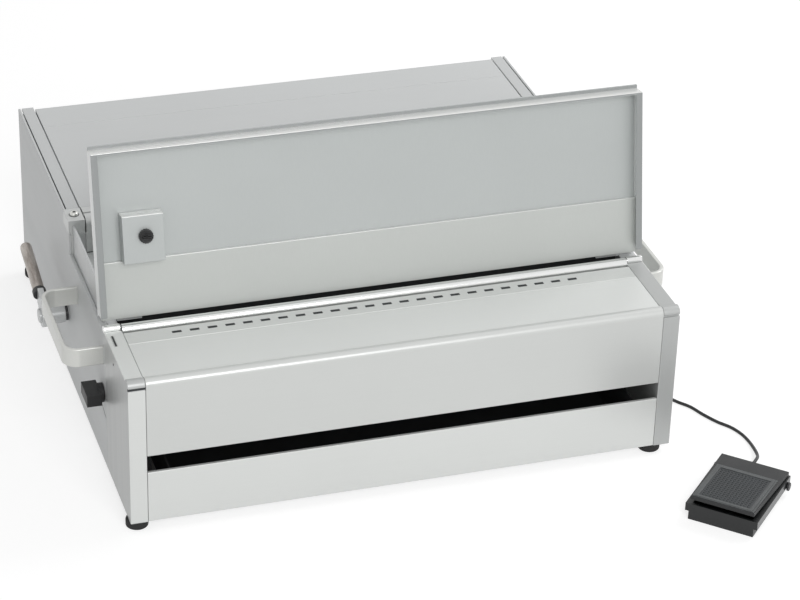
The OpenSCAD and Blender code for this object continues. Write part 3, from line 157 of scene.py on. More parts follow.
class Bench:
    """A new material's node tree, with short ways to add what the finishes need."""

    def __init__(self, name: str) -> None:
        """Makes an empty material of that name with its main shader."""
        self.material = bpy.data.materials.new(name)
        self.material.use_nodes = True
        self.tree = self.material.node_tree
        self.shader = self.tree.nodes["Principled BSDF"]

    def link(self, source: bpy.types.NodeSocket, target: bpy.types.NodeSocket) -> None:
        """Joins an output to an input."""
        self.tree.links.new(source, target)

    def place(self, stretch: Point = Grain.NONE.value) -> bpy.types.NodeSocket:
        """Gives the piece's own coordinates, stretched along its axes.

        Args:
            stretch: Scale of the pattern along X, Y and Z.

        Returns:
            The vector output.
        """
        coords = self.tree.nodes.new("ShaderNodeTexCoord")
        mapping = self.tree.nodes.new("ShaderNodeMapping")
        mapping.inputs["Scale"].default_value = stretch
        self.link(coords.outputs["Object"], mapping.inputs["Vector"])
        return mapping.outputs["Vector"]

    def noise(self, place: bpy.types.NodeSocket, scale: float, detail: float) -> bpy.types.NodeSocket:
        """Adds a noise pattern.

        Args:
            place: Coordinates to read.
            scale: Waves per metre.
            detail: Layers of finer noise.

        Returns:
            The factor output, about 0.3 to 0.7.
        """
        node = self.tree.nodes.new("ShaderNodeTexNoise")
        node.inputs["Scale"].default_value = scale
        node.inputs["Detail"].default_value = detail
        self.link(place, node.inputs["Vector"])
        return node.outputs["Fac"]

    def cells(self, place: bpy.types.NodeSocket, scale: float) -> bpy.types.NodeSocket:
        """Adds a pattern of cells and gives the distance from their borders.

        Args:
            place: Coordinates to read.
            scale: Cells per metre.

        Returns:
            The distance output.
        """
        node = self.tree.nodes.new("ShaderNodeTexVoronoi")
        node.feature = "DISTANCE_TO_EDGE"
        node.inputs["Scale"].default_value = scale
        self.link(place, node.inputs["Vector"])
        return node.outputs["Distance"]

    def spread(
        self, source: bpy.types.NodeSocket, low: float, high: float, start: float = 0.3, stop: float = 0.7
    ) -> bpy.types.NodeSocket:
        """Maps a pattern to a range of values.

        Args:
            source: The pattern.
            low: Value at the pattern's start.
            high: Value at the pattern's stop.
            start: Pattern level of the low value.
            stop: Pattern level of the high value.

        Returns:
            The value output.
        """
        node = self.tree.nodes.new("ShaderNodeMapRange")
        for name, value in (("From Min", start), ("From Max", stop), ("To Min", low), ("To Max", high)):
            node.inputs[name].default_value = value
        self.link(source, node.inputs["Value"])
        return node.outputs["Result"]

    def tones(
        self, source: bpy.types.NodeSocket, dark: Color, light: Color, start: float = 0.3, stop: float = 0.7
    ) -> bpy.types.NodeSocket:
        """Maps a pattern to a range between two colours.

        Args:
            source: The pattern.
            dark: Colour at the pattern's start.
            light: Colour at the pattern's stop.
            start: Pattern level of the first colour.
            stop: Pattern level of the second colour.

        Returns:
            The colour output.
        """
        node = self.tree.nodes.new("ShaderNodeValToRGB")
        first, last = node.color_ramp.elements[0], node.color_ramp.elements[1]
        first.position, first.color = start, (*dark, 1.0)
        last.position, last.color = stop, (*light, 1.0)
        self.link(source, node.inputs["Fac"])
        return node.outputs["Color"]

    def mix(
        self,
        first: bpy.types.NodeSocket,
        second: bpy.types.NodeSocket,
        share: bpy.types.NodeSocket | float = 1.0,
        way: str = "MULTIPLY",
    ) -> bpy.types.NodeSocket:
        """Mixes two colours.

        Args:
            first: Colour below.
            second: Colour above.
            share: Share of the second colour, a pattern or a number.
            way: Blender's name of the blend.

        Returns:
            The colour output.
        """
        node = self.tree.nodes.new("ShaderNodeMix")
        node.data_type = "RGBA"
        node.blend_type = way
        self.link(first, node.inputs[6])
        self.link(second, node.inputs[7])
        if isinstance(share, float):
            node.inputs[0].default_value = share
        else:
            self.link(share, node.inputs[0])
        return node.outputs[2]

    def bump(self, height: bpy.types.NodeSocket, depth: float, strength: float = 1.0) -> None:
        """Gives the surface fine relief.

        Args:
            height: Pattern of the relief.
            depth: Depth of the relief in metres.
            strength: Share of the relief that shows.
        """
        node = self.tree.nodes.new("ShaderNodeBump")
        node.inputs["Strength"].default_value = strength
        node.inputs["Distance"].default_value = depth
        self.link(height, node.inputs["Height"])
        self.link(node.outputs["Normal"], self.shader.inputs["Normal"])


@dataclass(frozen=True)
class Finish:
    """What all finishes share: a name and the record's material slot."""

    name: str
    slot: str
    color: Color

    def tone(self, share: float) -> Color:
        """Gives the finish's colour, darker or lighter by a share."""
        return tuple(min(1.0, value * share) for value in self.color)

    def material(self) -> bpy.types.Material:
        """Gives the finish's material, made at its first use."""
        return bpy.data.materials.get(self.name) or self.make()

    def make(self) -> bpy.types.Material:
        """Makes the material; each kind of finish has its own way."""
        raise NotImplementedError


@dataclass(frozen=True)
class MetalFinish(Finish):
    """Coated or bare metal: cloudy tone, fine lines along its grain and a little uneven gloss."""

    grain: Grain
    metallic: float
    gloss: tuple[float, float]
    cloud: float
    lines: float
    line_scale: float = 900.0
    relief: float = 0.000008
    cloud_scale: float = 11.0
    smear_share: float = 0.12

    def make(self) -> bpy.types.Material:
        """Makes the metal's material.

        Returns:
            The new material.
        """
        bench = Bench(self.name)
        bench.shader.inputs["Metallic"].default_value = self.metallic
        clouds = bench.noise(bench.place(), self.cloud_scale, 4.0)
        lines = bench.noise(bench.place(self.grain.value), self.line_scale, 3.0)
        tone = bench.tones(clouds, self.tone(1.0 - self.cloud), self.tone(1.0 + self.cloud))
        streak = bench.tones(lines, (1.0 - 2.0 * self.lines,) * 3, WHITE)
        bench.link(bench.mix(tone, streak), bench.shader.inputs["Base Color"])
        smear = bench.noise(bench.place(self.grain.value), self.line_scale * self.smear_share, 5.0)
        bench.link(bench.spread(smear, *self.gloss), bench.shader.inputs["Roughness"])
        bench.bump(lines, self.relief)
        return bench.material


@dataclass(frozen=True)
class MouldedFinish(Finish):
    """Moulded plastic or rubber: fine grain, worn lighter patches and a broken gloss."""

    gloss: tuple[float, float] = (0.35, 0.55)
    grain_scale: float = 1600.0
    relief: float = 0.00006
    wear: float = 1.5
    patch_scale: float = 70.0
    speck_tone: float = 0.82
    relief_share: float = 0.7

    def make(self) -> bpy.types.Material:
        """Makes the plastic's or rubber's material.

        Returns:
            The new material.
        """
        bench = Bench(self.name)
        grain = bench.noise(bench.place(), self.grain_scale, 2.0)
        patches = bench.noise(bench.place(), self.patch_scale, 5.0)
        tone = bench.tones(patches, self.color, self.tone(self.wear), 0.4, 0.75)
        speck = bench.tones(grain, (self.speck_tone,) * 3, WHITE)
        bench.link(bench.mix(tone, speck), bench.shader.inputs["Base Color"])
        bench.link(bench.spread(patches, *self.gloss), bench.shader.inputs["Roughness"])
        bench.bump(grain, self.relief, self.relief_share)
        return bench.material


@dataclass(frozen=True)
class WornGripFinish(Finish):
    """Round grip rubbed by hands: brownish steel that shows through a cream coat."""

    bare: Color
    metallic: float = 0.45
    rub_stretch: Point = (1.0, 0.12, 0.5)
    rub_scale: float = 260.0
    speck_scale: float = 900.0
    relief: float = 0.00008

    def make(self) -> bpy.types.Material:
        """Makes the grip's material.

        Returns:
            The new material.
        """
        bench = Bench(self.name)
        bench.shader.inputs["Metallic"].default_value = self.metallic
        rub = bench.noise(bench.place(self.rub_stretch), self.rub_scale, 6.0)
        specks = bench.noise(bench.place(), self.speck_scale, 3.0)
        coat = bench.tones(specks, self.tone(0.9), self.tone(1.08))
        bare = bench.tones(specks, tuple(0.8 * value for value in self.bare), self.bare)
        worn = bench.mix(bare, coat, bench.spread(rub, 0.1, 0.9, 0.36, 0.64), "MIX")
        bench.link(worn, bench.shader.inputs["Base Color"])
        bench.link(bench.spread(rub, 0.5, 0.32), bench.shader.inputs["Roughness"])
        bench.bump(rub, self.relief)
        return bench.material


@dataclass(frozen=True)
class BoardFinish(Finish):
    """Circuit board: lacquer over a net of paler tracks."""

    track: Color = (0.05, 0.3, 0.1)
    net_stretch: Point = (1.0, 1.0, 0.2)
    net_scale: float = 160.0
    relief: float = 0.00003

    def make(self) -> bpy.types.Material:
        """Makes the board's material.

        Returns:
            The new material.
        """
        bench = Bench(self.name)
        net = bench.cells(bench.place(self.net_stretch), self.net_scale)
        bench.link(bench.tones(net, self.track, self.color, 0.06, 0.1), bench.shader.inputs["Base Color"])
        bench.link(bench.spread(net, 0.25, 0.45, 0.0, 0.4), bench.shader.inputs["Roughness"])
        bench.bump(net, self.relief)
        return bench.material


@dataclass(frozen=True)
class InkFinish(Finish):
    """Printed ink with a faintly uneven edge to edge tone."""

    roughness: float = 0.6
    speck_scale: float = 2400.0
    wear: float = 1.6

    def make(self) -> bpy.types.Material:
        """Makes the ink's material.

        Returns:
            The new material.
        """
        bench = Bench(self.name)
        bench.shader.inputs["Roughness"].default_value = self.roughness
        specks = bench.noise(bench.place(), self.speck_scale, 2.0)
        bench.link(bench.tones(specks, self.color, self.tone(self.wear)), bench.shader.inputs["Base Color"])
        return bench.material


SILVER = MetalFinish(
    "silver_coat", "silver_paint", srgb(208, 210, 209), Grain.ALONG_X, 0.25, (0.34, 0.4), 0.012, 0.005
)
# Lighter coat of the drawer, the strip and the seals; on the left cheek's front it is a painted highlight.
SILVER_LIGHT = MetalFinish(
    "silver_coat_light", "silver_paint", srgb(219, 221, 219), Grain.ALONG_X, 0.25, (0.32, 0.38), 0.012, 0.005
)
SILVER_TOP = MetalFinish(
    "silver_coat_top", "silver_paint", srgb(210, 212, 212), Grain.ALONG_X, 0.12, (0.54, 0.6), 0.012, 0.005
)
# Painted shade: the cheeks' silver coat in a darker copy of the same paint as the covers.
SILVER_SHADED = MetalFinish(
    "silver_coat_painted_shade", "silver_paint", srgb(184, 186, 185), Grain.ALONG_Z, 0.2, (0.32, 0.4), 0.012, 0.008
)
SILVER_BACK = MetalFinish(
    "silver_coat_deep", "silver_paint", srgb(204, 206, 206), Grain.ALONG_Y, 0.15, (0.46, 0.54), 0.012, 0.006
)
PALE = MetalFinish(
    "pale_coat", "pale_paint", srgb(208, 210, 208), Grain.ALONG_X, 0.25, (0.29, 0.32), 0.01, 0.004
)
# Painted highlight: a lighter copy of the pale coat for faces that face up.
PALE_HIGHLIT = MetalFinish(
    "pale_coat_painted_highlight", "pale_paint", srgb(226, 228, 226), Grain.ALONG_X, 0.18, (0.42, 0.45), 0.01, 0.004
)
TRAY = MetalFinish(
    "tray_coat", "tray_paint", srgb(187, 191, 190), Grain.ALONG_Z, 0.2, (0.36, 0.44), 0.012, 0.008
)
TRAY_LOW = MetalFinish(
    "tray_coat_low", "tray_paint", srgb(196, 199, 196), Grain.ALONG_Z, 0.2, (0.34, 0.42), 0.012, 0.008
)
# Painted highlight: a lighter copy of the tray coat for edges and faces that face up.
TRAY_HIGHLIGHT = MetalFinish(
    "tray_coat_painted_highlight", "tray_paint", srgb(232, 233, 231), Grain.ALONG_X, 0.3, (0.22, 0.3), 0.01, 0.004
)
# Painted light: a lighter copy of the tray coat for the flanges' inner walls, against their shade.
TRAY_WALL_LIT = MetalFinish(
    "tray_coat_wall_painted_light", "tray_paint", srgb(238, 240, 239), Grain.ALONG_Z, 0.2, (0.36, 0.44), 0.012, 0.008
)
TRAY_LIP = MetalFinish(
    "tray_coat_lip", "tray_paint", srgb(153, 156, 156), Grain.ALONG_Z, 0.2, (0.36, 0.44), 0.012, 0.008
)
CHROME = MetalFinish(
    "polished_bar", "bright_bar", srgb(228, 229, 228), Grain.ALONG_X, 0.9, (0.12, 0.2), 0.015, 0.01
)
FRAME_STEEL = MetalFinish(
    "frame_plate", "frame_steel", srgb(198, 200, 200), Grain.ALONG_Z, 0.5, (0.32, 0.42), 0.03, 0.03
)
HANDLE = MetalFinish(
    "handle_band", "handle_metal", srgb(214, 215, 211), Grain.ALONG_Y, 0.4, (0.28, 0.4), 0.02, 0.015
)
TOOL_STEEL = MetalFinish(
    "ground_tool_steel", "tool_steel", srgb(170, 172, 174), Grain.ALONG_X, 1.0, (0.25, 0.4), 0.05, 0.08
)
DARK_METAL = MetalFinish(
    "dark_enamel", "dark_metal", srgb(70, 73, 76), Grain.NONE, 0.2, (0.35, 0.5), 0.06, 0.04, 500.0, 0.00005
)
# Painted shade: near-black steel for the plates seen through the gap under the tray.
SHADE_STEEL = MetalFinish(
    "tool_steel_painted_shade", "tool_steel", srgb(26, 27, 29), Grain.ALONG_X, 0.3, (0.5, 0.6), 0.05, 0.05
)
BRONZE = MetalFinish(
    "plain_bronze", "bronze", srgb(196, 158, 96), Grain.ALONG_X, 1.0, (0.28, 0.42), 0.06, 0.06
)
# Painted shade: dark metal for the ring under each screw head and the disc in its recess.
FIXING_SHADE = MetalFinish(
    "fixing_painted_shade", "fixings", srgb(92, 94, 96), Grain.NONE, 0.9, (0.3, 0.45), 0.06, 0.05, 700.0
)
FIXING_BRIGHT = MetalFinish(
    "bright_fixing", "fixings", srgb(214, 214, 210), Grain.NONE, 0.9, (0.25, 0.35), 0.04, 0.03, 700.0
)
BLACK = MouldedFinish("black_moulding", "black_plastic", srgb(34, 35, 37))
# Black sheet coat, and painted shade where it lines the deck's front and the drawer's inside.
BLACK_AND_SHADE = MouldedFinish("black_coat_and_painted_shade", "black_sheet", srgb(27, 29, 30), (0.72, 0.86), 900.0)
BASE_SHELL = MouldedFinish(
    "switch_shell", "black_plastic", srgb(17, 19, 20), (0.3, 0.46), 1500.0, 0.00003, 1.3
)
# Glossier shell, in a lighter colour that is painted light on the wall facing the right lamp.
BASE_GLOSS_LIT = MouldedFinish(
    "switch_shell_gloss_painted_light", "black_plastic", srgb(36, 38, 40), (0.1, 0.24), 700.0, 0.00012, 2.2
)
TREAD_DARK = MouldedFinish(
    "switch_tread_dark", "black_plastic", srgb(17, 19, 21), (0.42, 0.56), 1300.0, 0.00004, 1.4
)
TREAD = MouldedFinish(
    "switch_tread", "black_plastic", srgb(39, 43, 46), (0.36, 0.52), 1300.0, 0.00005, 1.35
)
TREAD_LIGHT = MouldedFinish(
    "switch_tread_light", "black_plastic", srgb(68, 71, 72), (0.34, 0.48), 1300.0, 0.00005, 1.6
)
KNOB_BLACK = MouldedFinish(
    "knob_black", "black_plastic", srgb(15, 16, 17), (0.42, 0.58), 1500.0, 0.00005, 1.4
)
RUBBER = MouldedFinish("foot_rubber", "black_rubber", srgb(28, 28, 28), (0.7, 0.9), 1100.0)
JACKET = MouldedFinish("cord_jacket", "black_jacket", srgb(32, 33, 34), (0.35, 0.5), 1400.0, 0.00003)
GRIP = WornGripFinish("worn_grip", "grip_metal", srgb(208, 202, 196), srgb(150, 141, 134))
BOARD = BoardFinish("lacquered_board", "board", srgb(22, 84, 42))
# Printed ink of the scale; the same ink fills the left side's groove and slots as painted shade.
INK_AND_SHADE = InkFinish("scale_ink_and_painted_shade", "black_sheet", srgb(36, 38, 40))


def finish_piece(
    name: str,
    shape: bmesh.types.BMesh,
    finish: Finish,
    body: str,
    replaces: tuple[str, ...] = (),
    smooth: float = 40.0,
) -> bpy.types.Object:
    """Turns a shape into a piece of the object.

    Args:
        name: The piece's name.
        shape: Its mesh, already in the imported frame; it is freed.
        finish: What its surface looks like.
        body: The body that it rides on.
        replaces: CAD nodes that it stands for.
        smooth: Edges up to this angle, in degrees, are shaded as one surface.

    Returns:
        The new object.
    """
    mesh = bpy.data.meshes.new(name)
    shape.to_mesh(mesh)
    shape.free()
    mesh.shade_smooth()
    mesh.set_sharp_from_angle(angle=math.radians(smooth))
    mesh.materials.append(finish.material())
    piece = bpy.data.objects.new(name, mesh)
    bpy.context.scene.collection.objects.link(piece)
    even = piece.modifiers.new("even_shading", "WEIGHTED_NORMAL")
    even.keep_sharp = True
    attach(piece, body)
    if replaces:
        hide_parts(*replaces)
    LOG.info("%s rides on %s", name, body)
    return piece


def turned(profile: Profile, steps: int = 36, place: Matrix = Matrix.Identity(4)) -> bmesh.types.BMesh:
    """Turns a profile about +Z.

    Args:
        profile: Radius and height of each point; the first and last lie on the axis.
        steps: Faces round the axis.
        place: Where the turned shape goes.

    Returns:
        The closed shape.
    """
    shape = bmesh.new()
    points = [shape.verts.new((radius, 0.0, height)) for radius, height in profile]
    edges = [shape.edges.new(pair) for pair in zip(points, points[1:])]
    bmesh.ops.spin(
        shape,
        geom=[*points, *edges],
        cent=(0.0, 0.0, 0.0),
        axis=(0.0, 0.0, 1.0),
        dvec=(0.0, 0.0, 0.0),
        angle=math.tau,
        steps=steps,
        use_merge=True,
    )
    bmesh.ops.remove_doubles(shape, verts=shape.verts[:], dist=0.0001)
    bmesh.ops.recalc_face_normals(shape, faces=shape.faces[:])
    bmesh.ops.transform(shape, matrix=place, verts=shape.verts[:])
    return shape


def add_shape(target: bmesh.types.BMesh, other: bmesh.types.BMesh, place: Matrix) -> None:
    """Adds one shape to another.

    Args:
        target: The shape that grows.
        other: The shape that is added; it is freed.
        place: Where it goes.
    """
    holder = bpy.data.meshes.new("holder")
    other.to_mesh(holder)
    other.free()
    holder.transform(place)
    target.from_mesh(holder)
    bpy.data.meshes.remove(holder)


def add_block(shape: bmesh.types.BMesh, low: Point, high: Point, place: Matrix) -> list[bmesh.types.BMVert]:
    """Adds a block between two corners.

    Args:
        shape: The shape that grows.
        low: The lowest corner.
        high: The highest corner.
        place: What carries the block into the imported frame.

    Returns:
        The block's vertices.
    """
    first, last = Vector(low), Vector(high)
    size = Matrix.Diagonal((last - first).to_4d())
    size[3][3] = 1.0
    return bmesh.ops.create_cube(
        shape, size=1.0, matrix=place @ Matrix.Translation((first + last) / 2.0) @ size
    )["verts"]


def ease(shape: bmesh.types.BMesh, radius: float, segments: int = 2, sharp: float = 30.0) -> None:
    """Rounds the sharp outer edges of a shape.

    Args:
        shape: The shape, in metres.
        radius: Width of the rounding in millimetres.
        segments: Faces across each rounding.
        sharp: Edges that turn by more than this, in degrees, are rounded.
    """
    limit = math.radians(sharp)
    edges = [edge for edge in shape.edges if edge.is_manifold and edge.calc_face_angle(0.0) > limit]
    bmesh.ops.bevel(
        shape,
        geom=edges,
        offset=radius * 0.001,
        offset_type="OFFSET",
        affect="EDGES",
        segments=segments,
        profile=0.5,
        clamp_overlap=True,
        material=-1,
    )


@dataclass(frozen=True)
class Accent:
    """Another finish for the faces of a part that lie in a box of its zone."""

    finish: Finish
    zone: Zone
    low: Point
    high: Point

    def holds(self, point: Vector) -> bool:
        """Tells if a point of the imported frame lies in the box."""
        local = self.zone.place.inverted() @ point
        return all(low <= value <= high for low, value, high in zip(self.low, local, self.high))


@dataclass
class EasedPart:
    """A CAD node shown with the eased edges that bent, cut or moulded stock has."""

    node: str
    finish: Finish
    radius: float
    segments: int = 2
    accents: tuple[Accent, ...] = ()
    weld: float = 0.000002
    flat: float = math.radians(0.6)

    def build(self) -> bpy.types.Object:
        """Makes the eased copy of the node.

        Returns:
            The piece that stands for the node.
        """
        source = frame["nodes"][self.node]
        shape = bmesh.new()
        shape.from_mesh(source.data)
        bmesh.ops.remove_doubles(shape, verts=shape.verts[:], dist=self.weld)
        bmesh.ops.dissolve_limit(shape, angle_limit=self.flat, verts=shape.verts[:], edges=shape.edges[:])
        ease(shape, self.radius, self.segments)
        for index, accent in enumerate(self.accents, 1):
            for face in shape.faces:
                if accent.holds(face.calc_center_median()):
                    face.material_index = index
        piece = finish_piece(self.node + "_shell", shape, self.finish, body_of(source)[0], (self.node,))
        for accent in self.accents:
            piece.data.materials.append(accent.finish.material())
        return piece


@dataclass
class SubAssembly:
    """A group of the object's pieces: CAD nodes with eased edges, and what its own methods add."""

    eased: tuple[EasedPart, ...] = ()

    def build(self) -> None:
        """Makes the eased parts."""
        for part in self.eased:
            part.build()


@dataclass(frozen=True)
class Lamp:
    """Square soft lamp: its place, aim and side are in metres, its power in watts."""

    name: str
    place: Point
    aim: Point
    side: float
    power: float

    def hang(self) -> None:
        """Hangs the lamp at its place, turned to its aim."""
        data = bpy.data.lights.new(self.name, "AREA")
        data.size = self.side
        data.energy = self.power
        lamp = bpy.data.objects.new(self.name, data)
        turn = (Vector(self.aim) - Vector(self.place)).to_track_quat("-Z", "Y").to_matrix().to_4x4()
        lamp.matrix_world = Matrix.Translation(self.place) @ turn
        bpy.context.scene.collection.objects.link(lamp)


@dataclass
class Studio:
    """Camera, floor and soft light."""

    eye: Point = (-0.6043, -2.0076, 1.2574)
    forward: Point = (0.27277, 0.82395, -0.49669)
    right: Point = (0.94933, -0.31428, 0.0)
    up: Point = (0.15610, 0.47152, 0.86793)
    roll: float = 1.7802
    lens: float = 127.73
    sensor: float = 36.0
    view_reach: float = 50.0
    floor_side: float = 9.0
    floor_paper: float = 0.8
    floor_seen: float = 0.42
    floor_glow: float = 0.7
    backdrop: float = 1.0
    ambient: float = 0.43
    lamps: tuple[Lamp, ...] = (
        Lamp("light_front", (-0.05, -2.6, 1.7), (0.0, -0.1, 0.1), 1.5, 38.0),
        Lamp("light_right", (1.5, 0.3, 1.4), (0.0, 0.1, 0.1), 1.0, 14.0),
    )

    def build(self) -> None:
        """Makes the camera, the floor, the world and the lamps."""
        bpy.context.scene.view_settings.view_transform = "Standard"
        self.camera()
        self.floor()
        self.world()
        for lamp in self.lamps:
            lamp.hang()

    def camera(self) -> None:
        """Sets the camera where the photographer stood."""
        angle = math.radians(self.roll)
        right, up, forward = Vector(self.right), Vector(self.up), Vector(self.forward)
        across = math.cos(angle) * right + math.sin(angle) * up
        upright = -math.sin(angle) * right + math.cos(angle) * up
        data = bpy.data.cameras.new("view")
        data.sensor_fit = "HORIZONTAL"
        data.sensor_width = self.sensor
        data.lens = self.lens
        data.clip_end = self.view_reach
        camera = bpy.data.objects.new("view", data)
        turn = Matrix((across, upright, -forward)).transposed().to_4x4()
        camera.matrix_world = Matrix.Translation(self.eye) @ turn
        bpy.context.scene.collection.objects.link(camera)
        bpy.context.scene.camera = camera

    def floor(self) -> None:
        """Lays the pale floor, which looks white and keeps the object's shadow."""
        shape = bmesh.new()
        bmesh.ops.create_grid(shape, x_segments=1, y_segments=1, size=self.floor_side / 2.0)
        mesh = bpy.data.meshes.new("floor")
        shape.to_mesh(mesh)
        shape.free()
        floor = bpy.data.objects.new("floor", mesh)
        bpy.context.scene.collection.objects.link(floor)
        material = bpy.data.materials.new("floor_paper")
        material.use_nodes = True
        nodes, links = material.node_tree.nodes, material.node_tree.links
        nodes.clear()
        paper = nodes.new("ShaderNodeBsdfDiffuse")
        paper.inputs["Color"].default_value = (*(self.floor_paper,) * 3, 1.0)
        seen = nodes.new("ShaderNodeBsdfDiffuse")
        seen.inputs["Color"].default_value = (*(self.floor_seen,) * 3, 1.0)
        glow = nodes.new("ShaderNodeEmission")
        glow.inputs["Strength"].default_value = self.floor_glow
        both = nodes.new("ShaderNodeAddShader")
        links.new(seen.outputs[0], both.inputs[0])
        links.new(glow.outputs[0], both.inputs[1])
        choice = nodes.new("ShaderNodeMixShader")
        links.new(self.seen_rays(material.node_tree), choice.inputs[0])
        links.new(paper.outputs[0], choice.inputs[1])
        links.new(both.outputs[0], choice.inputs[2])
        links.new(choice.outputs[0], nodes.new("ShaderNodeOutputMaterial").inputs["Surface"])
        mesh.materials.append(material)

    def seen_rays(self, tree: bpy.types.NodeTree) -> bpy.types.NodeSocket:
        """Tells the rays that show a surface from those that only light.

        Args:
            tree: The node tree to add to.

        Returns:
            A value of 1 for camera, glossy and transmission rays, or else 0.
        """
        path = tree.nodes.new("ShaderNodeLightPath")
        seen = path.outputs["Is Camera Ray"]
        for kind in ("Is Glossy Ray", "Is Transmission Ray"):
            either = tree.nodes.new("ShaderNodeMath")
            either.operation = "MAXIMUM"
            tree.links.new(seen, either.inputs[0])
            tree.links.new(path.outputs[kind], either.inputs[1])
            seen = either.outputs[0]
        return seen

    def world(self) -> None:
        """Surrounds the object with white that is seen and a softer white that lights."""
        world = bpy.data.worlds.new("studio")
        world.use_nodes = True
        tree = world.node_tree
        shown = tree.nodes["Background"]
        light = tree.nodes.new("ShaderNodeBackground")
        for sky, strength in ((shown, self.backdrop), (light, self.ambient)):
            sky.inputs["Color"].default_value = (*WHITE, 1.0)
            sky.inputs["Strength"].default_value = strength
        choice = tree.nodes.new("ShaderNodeMixShader")
        tree.links.new(self.seen_rays(tree), choice.inputs[0])
        tree.links.new(light.outputs[0], choice.inputs[1])
        tree.links.new(shown.outputs[0], choice.inputs[2])
        tree.links.new(choice.outputs[0], tree.nodes["World Output"].inputs["Surface"])
        bpy.context.scene.world = world


@dataclass
class FootSwitchCord:
    """Cord from the machine's back to the foot switch, its spare length coiled behind the machine."""

    diameter: float = 2.8
    lead: tuple[Point, ...] = (
        (100, 231, 45), (100, 238, 45), (100, 249, 38), (101, 254, 22), (106, 254, 9),
        (117, 250, 2.4), (131, 243, 1.4), (147, 240.6, 1.4), (157, 239.5, 1.4), (162.2, 239.5, 1.4),
    )
    run: tuple[Point, ...] = (
        (167.8, 239.5, 4.8), (176, 239.5, 4.8), (190, 239.5, 3.67), (207, 238.5, 1.4), (224, 232, 1.4),
        (240, 222, 1.4), (250, 204, 1.4), (253, 180, 1.4), (252, 120, 1.4), (250, 60, 1.4), (250, 0, 1.4),
        (250, -60, 1.4), (250, -110, 1.4), (253, -134, 1.4), (259.5, -147.5, 1.4), (267.5, -158.5, 1.4),
        (273, -172, 1.4), (280, -186, 1.4), (288, -197.5, 1.4), (292.5, -210, 1.4), (293.7, -223, 1.6),
        (292.3, -237.5, 2.8), (289.3, -248.5, 4.8), (284.6, -255.98, 7), (279.75, -261.03, 7),
    )
    coil_middle: tuple[float, float] = (165.0, 262.0)
    coil_radius: float = 22.5
    coil_pitch: float = 3.3
    coil_loops: int = 7
    coil_steps: int = 48
    layer: float = 3.4
    length: float = 1.43
    curve_steps: int = 6
    gland_place: Point = (100.0, 426.0, 38.0)
    gland_nut: Profile = (
        (0.0, -6.0), (8.6, -6.0), (9.0, -5.6), (9.0, -2.4), (5.98, -2.0), (5.98, 0.0), (7.6, 0.0),
        (8.0, 0.4), (8.0, 2.4), (7.4, 3.0), (5.1, 3.2),
    )
    gland_end: Profile = ((2.3, 19.6), (2.0, 20.0), (0.0, 20.0))
    gland_ribs: int = 6
    tie_inner: float = 8.2
    tie_outer: float = 24.6
    tie_half: float = 4.0
    tie_low: float = 0.1
    tie_high: float = 7.0
    tie_round: float = 0.0018
    tie_wall: float = 0.0006

    def curve(self, points: tuple[Point, ...]) -> list[Vector]:
        """Runs a smooth curve through points.

        Args:
            points: The points to pass.

        Returns:
            Points along the curve.
        """
        knots = [Vector(point) for point in points]
        padded = [knots[0], *knots, knots[-1]]
        found = []
        for a, b, c, d in zip(padded, padded[1:], padded[2:], padded[3:]):
            for step in range(self.curve_steps):
                t = step / self.curve_steps
                bend = (2 * a - 5 * b + 4 * c - d) + t * (3 * (b - c) + d - a)
                found.append(b + 0.5 * t * ((c - a) + t * bend))
        return [*found, knots[-1]]

    def coil(self) -> list[Vector]:
        """Winds the coil: in on the floor, up one layer, and out again.

        Returns:
            Points along the coil, from its entry to its exit.
        """
        half = self.coil_loops / 2.0
        found = []
        for step in range(self.coil_loops * self.coil_steps + 1):
            t = step / self.coil_steps
            radius = self.coil_radius - self.coil_pitch * (half - abs(t - half))
            angle = math.tau * t - math.pi / 2.0
            climb = self.layer * min(1.0, max(0.0, (t - half + 0.25) / 0.5))
            x, y = self.coil_middle
            height = self.diameter / 2 + climb
            found.append(Vector((x + radius * math.cos(angle), y + radius * math.sin(angle), height)))
        return found

    def build(self) -> None:
        """Makes the cord, its gland sleeve and the tie round its coil."""
        route = [*self.curve(self.lead), *self.coil(), *self.curve(self.run)]
        data = bpy.data.curves.new("foot_switch_cord", "CURVE")
        data.dimensions = "3D"
        data.bevel_depth = self.diameter / 2000.0
        data.bevel_resolution = 4
        data.use_fill_caps = True
        spline = data.splines.new("POLY")
        spline.points.add(len(route) - 1)
        for knot, point in zip(spline.points, route):
            knot.co = (*(point * 0.001), 1.0)
        spline.use_smooth = True
        data.materials.append(JACKET.material())
        cord = bpy.data.objects.new("foot_switch_cord", data)
        bpy.context.scene.collection.objects.link(cord)
        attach(cord, "chassis")
        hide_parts("cord_lead", "cord_coil", "cord_run")
        LOG.info("foot_switch_cord rides on chassis")
        self.gland()
        self.tie()

    def gland(self) -> bpy.types.Object:
        """Turns the gland: nut, collar and a ribbed sleeve that tapers to the cord.

        Returns:
            The gland.
        """
        profile = [*self.gland_nut]
        for rib in range(self.gland_ribs):
            start, wide = 4.4 + 2.5 * rib, 4.9 - 0.38 * rib
            profile += [(wide, start), (wide, start + 1.4)]
            profile += [(wide - 0.7, start + 1.7), (wide - 0.7, start + 2.3)]
        place = FIT @ Matrix.Translation(self.gland_place) @ Facing.BACK.turn
        shape = turned((*profile, *self.gland_end), place=place)
        return finish_piece("cord_gland_sleeve", shape, BLACK, "chassis", ("cord_gland",))

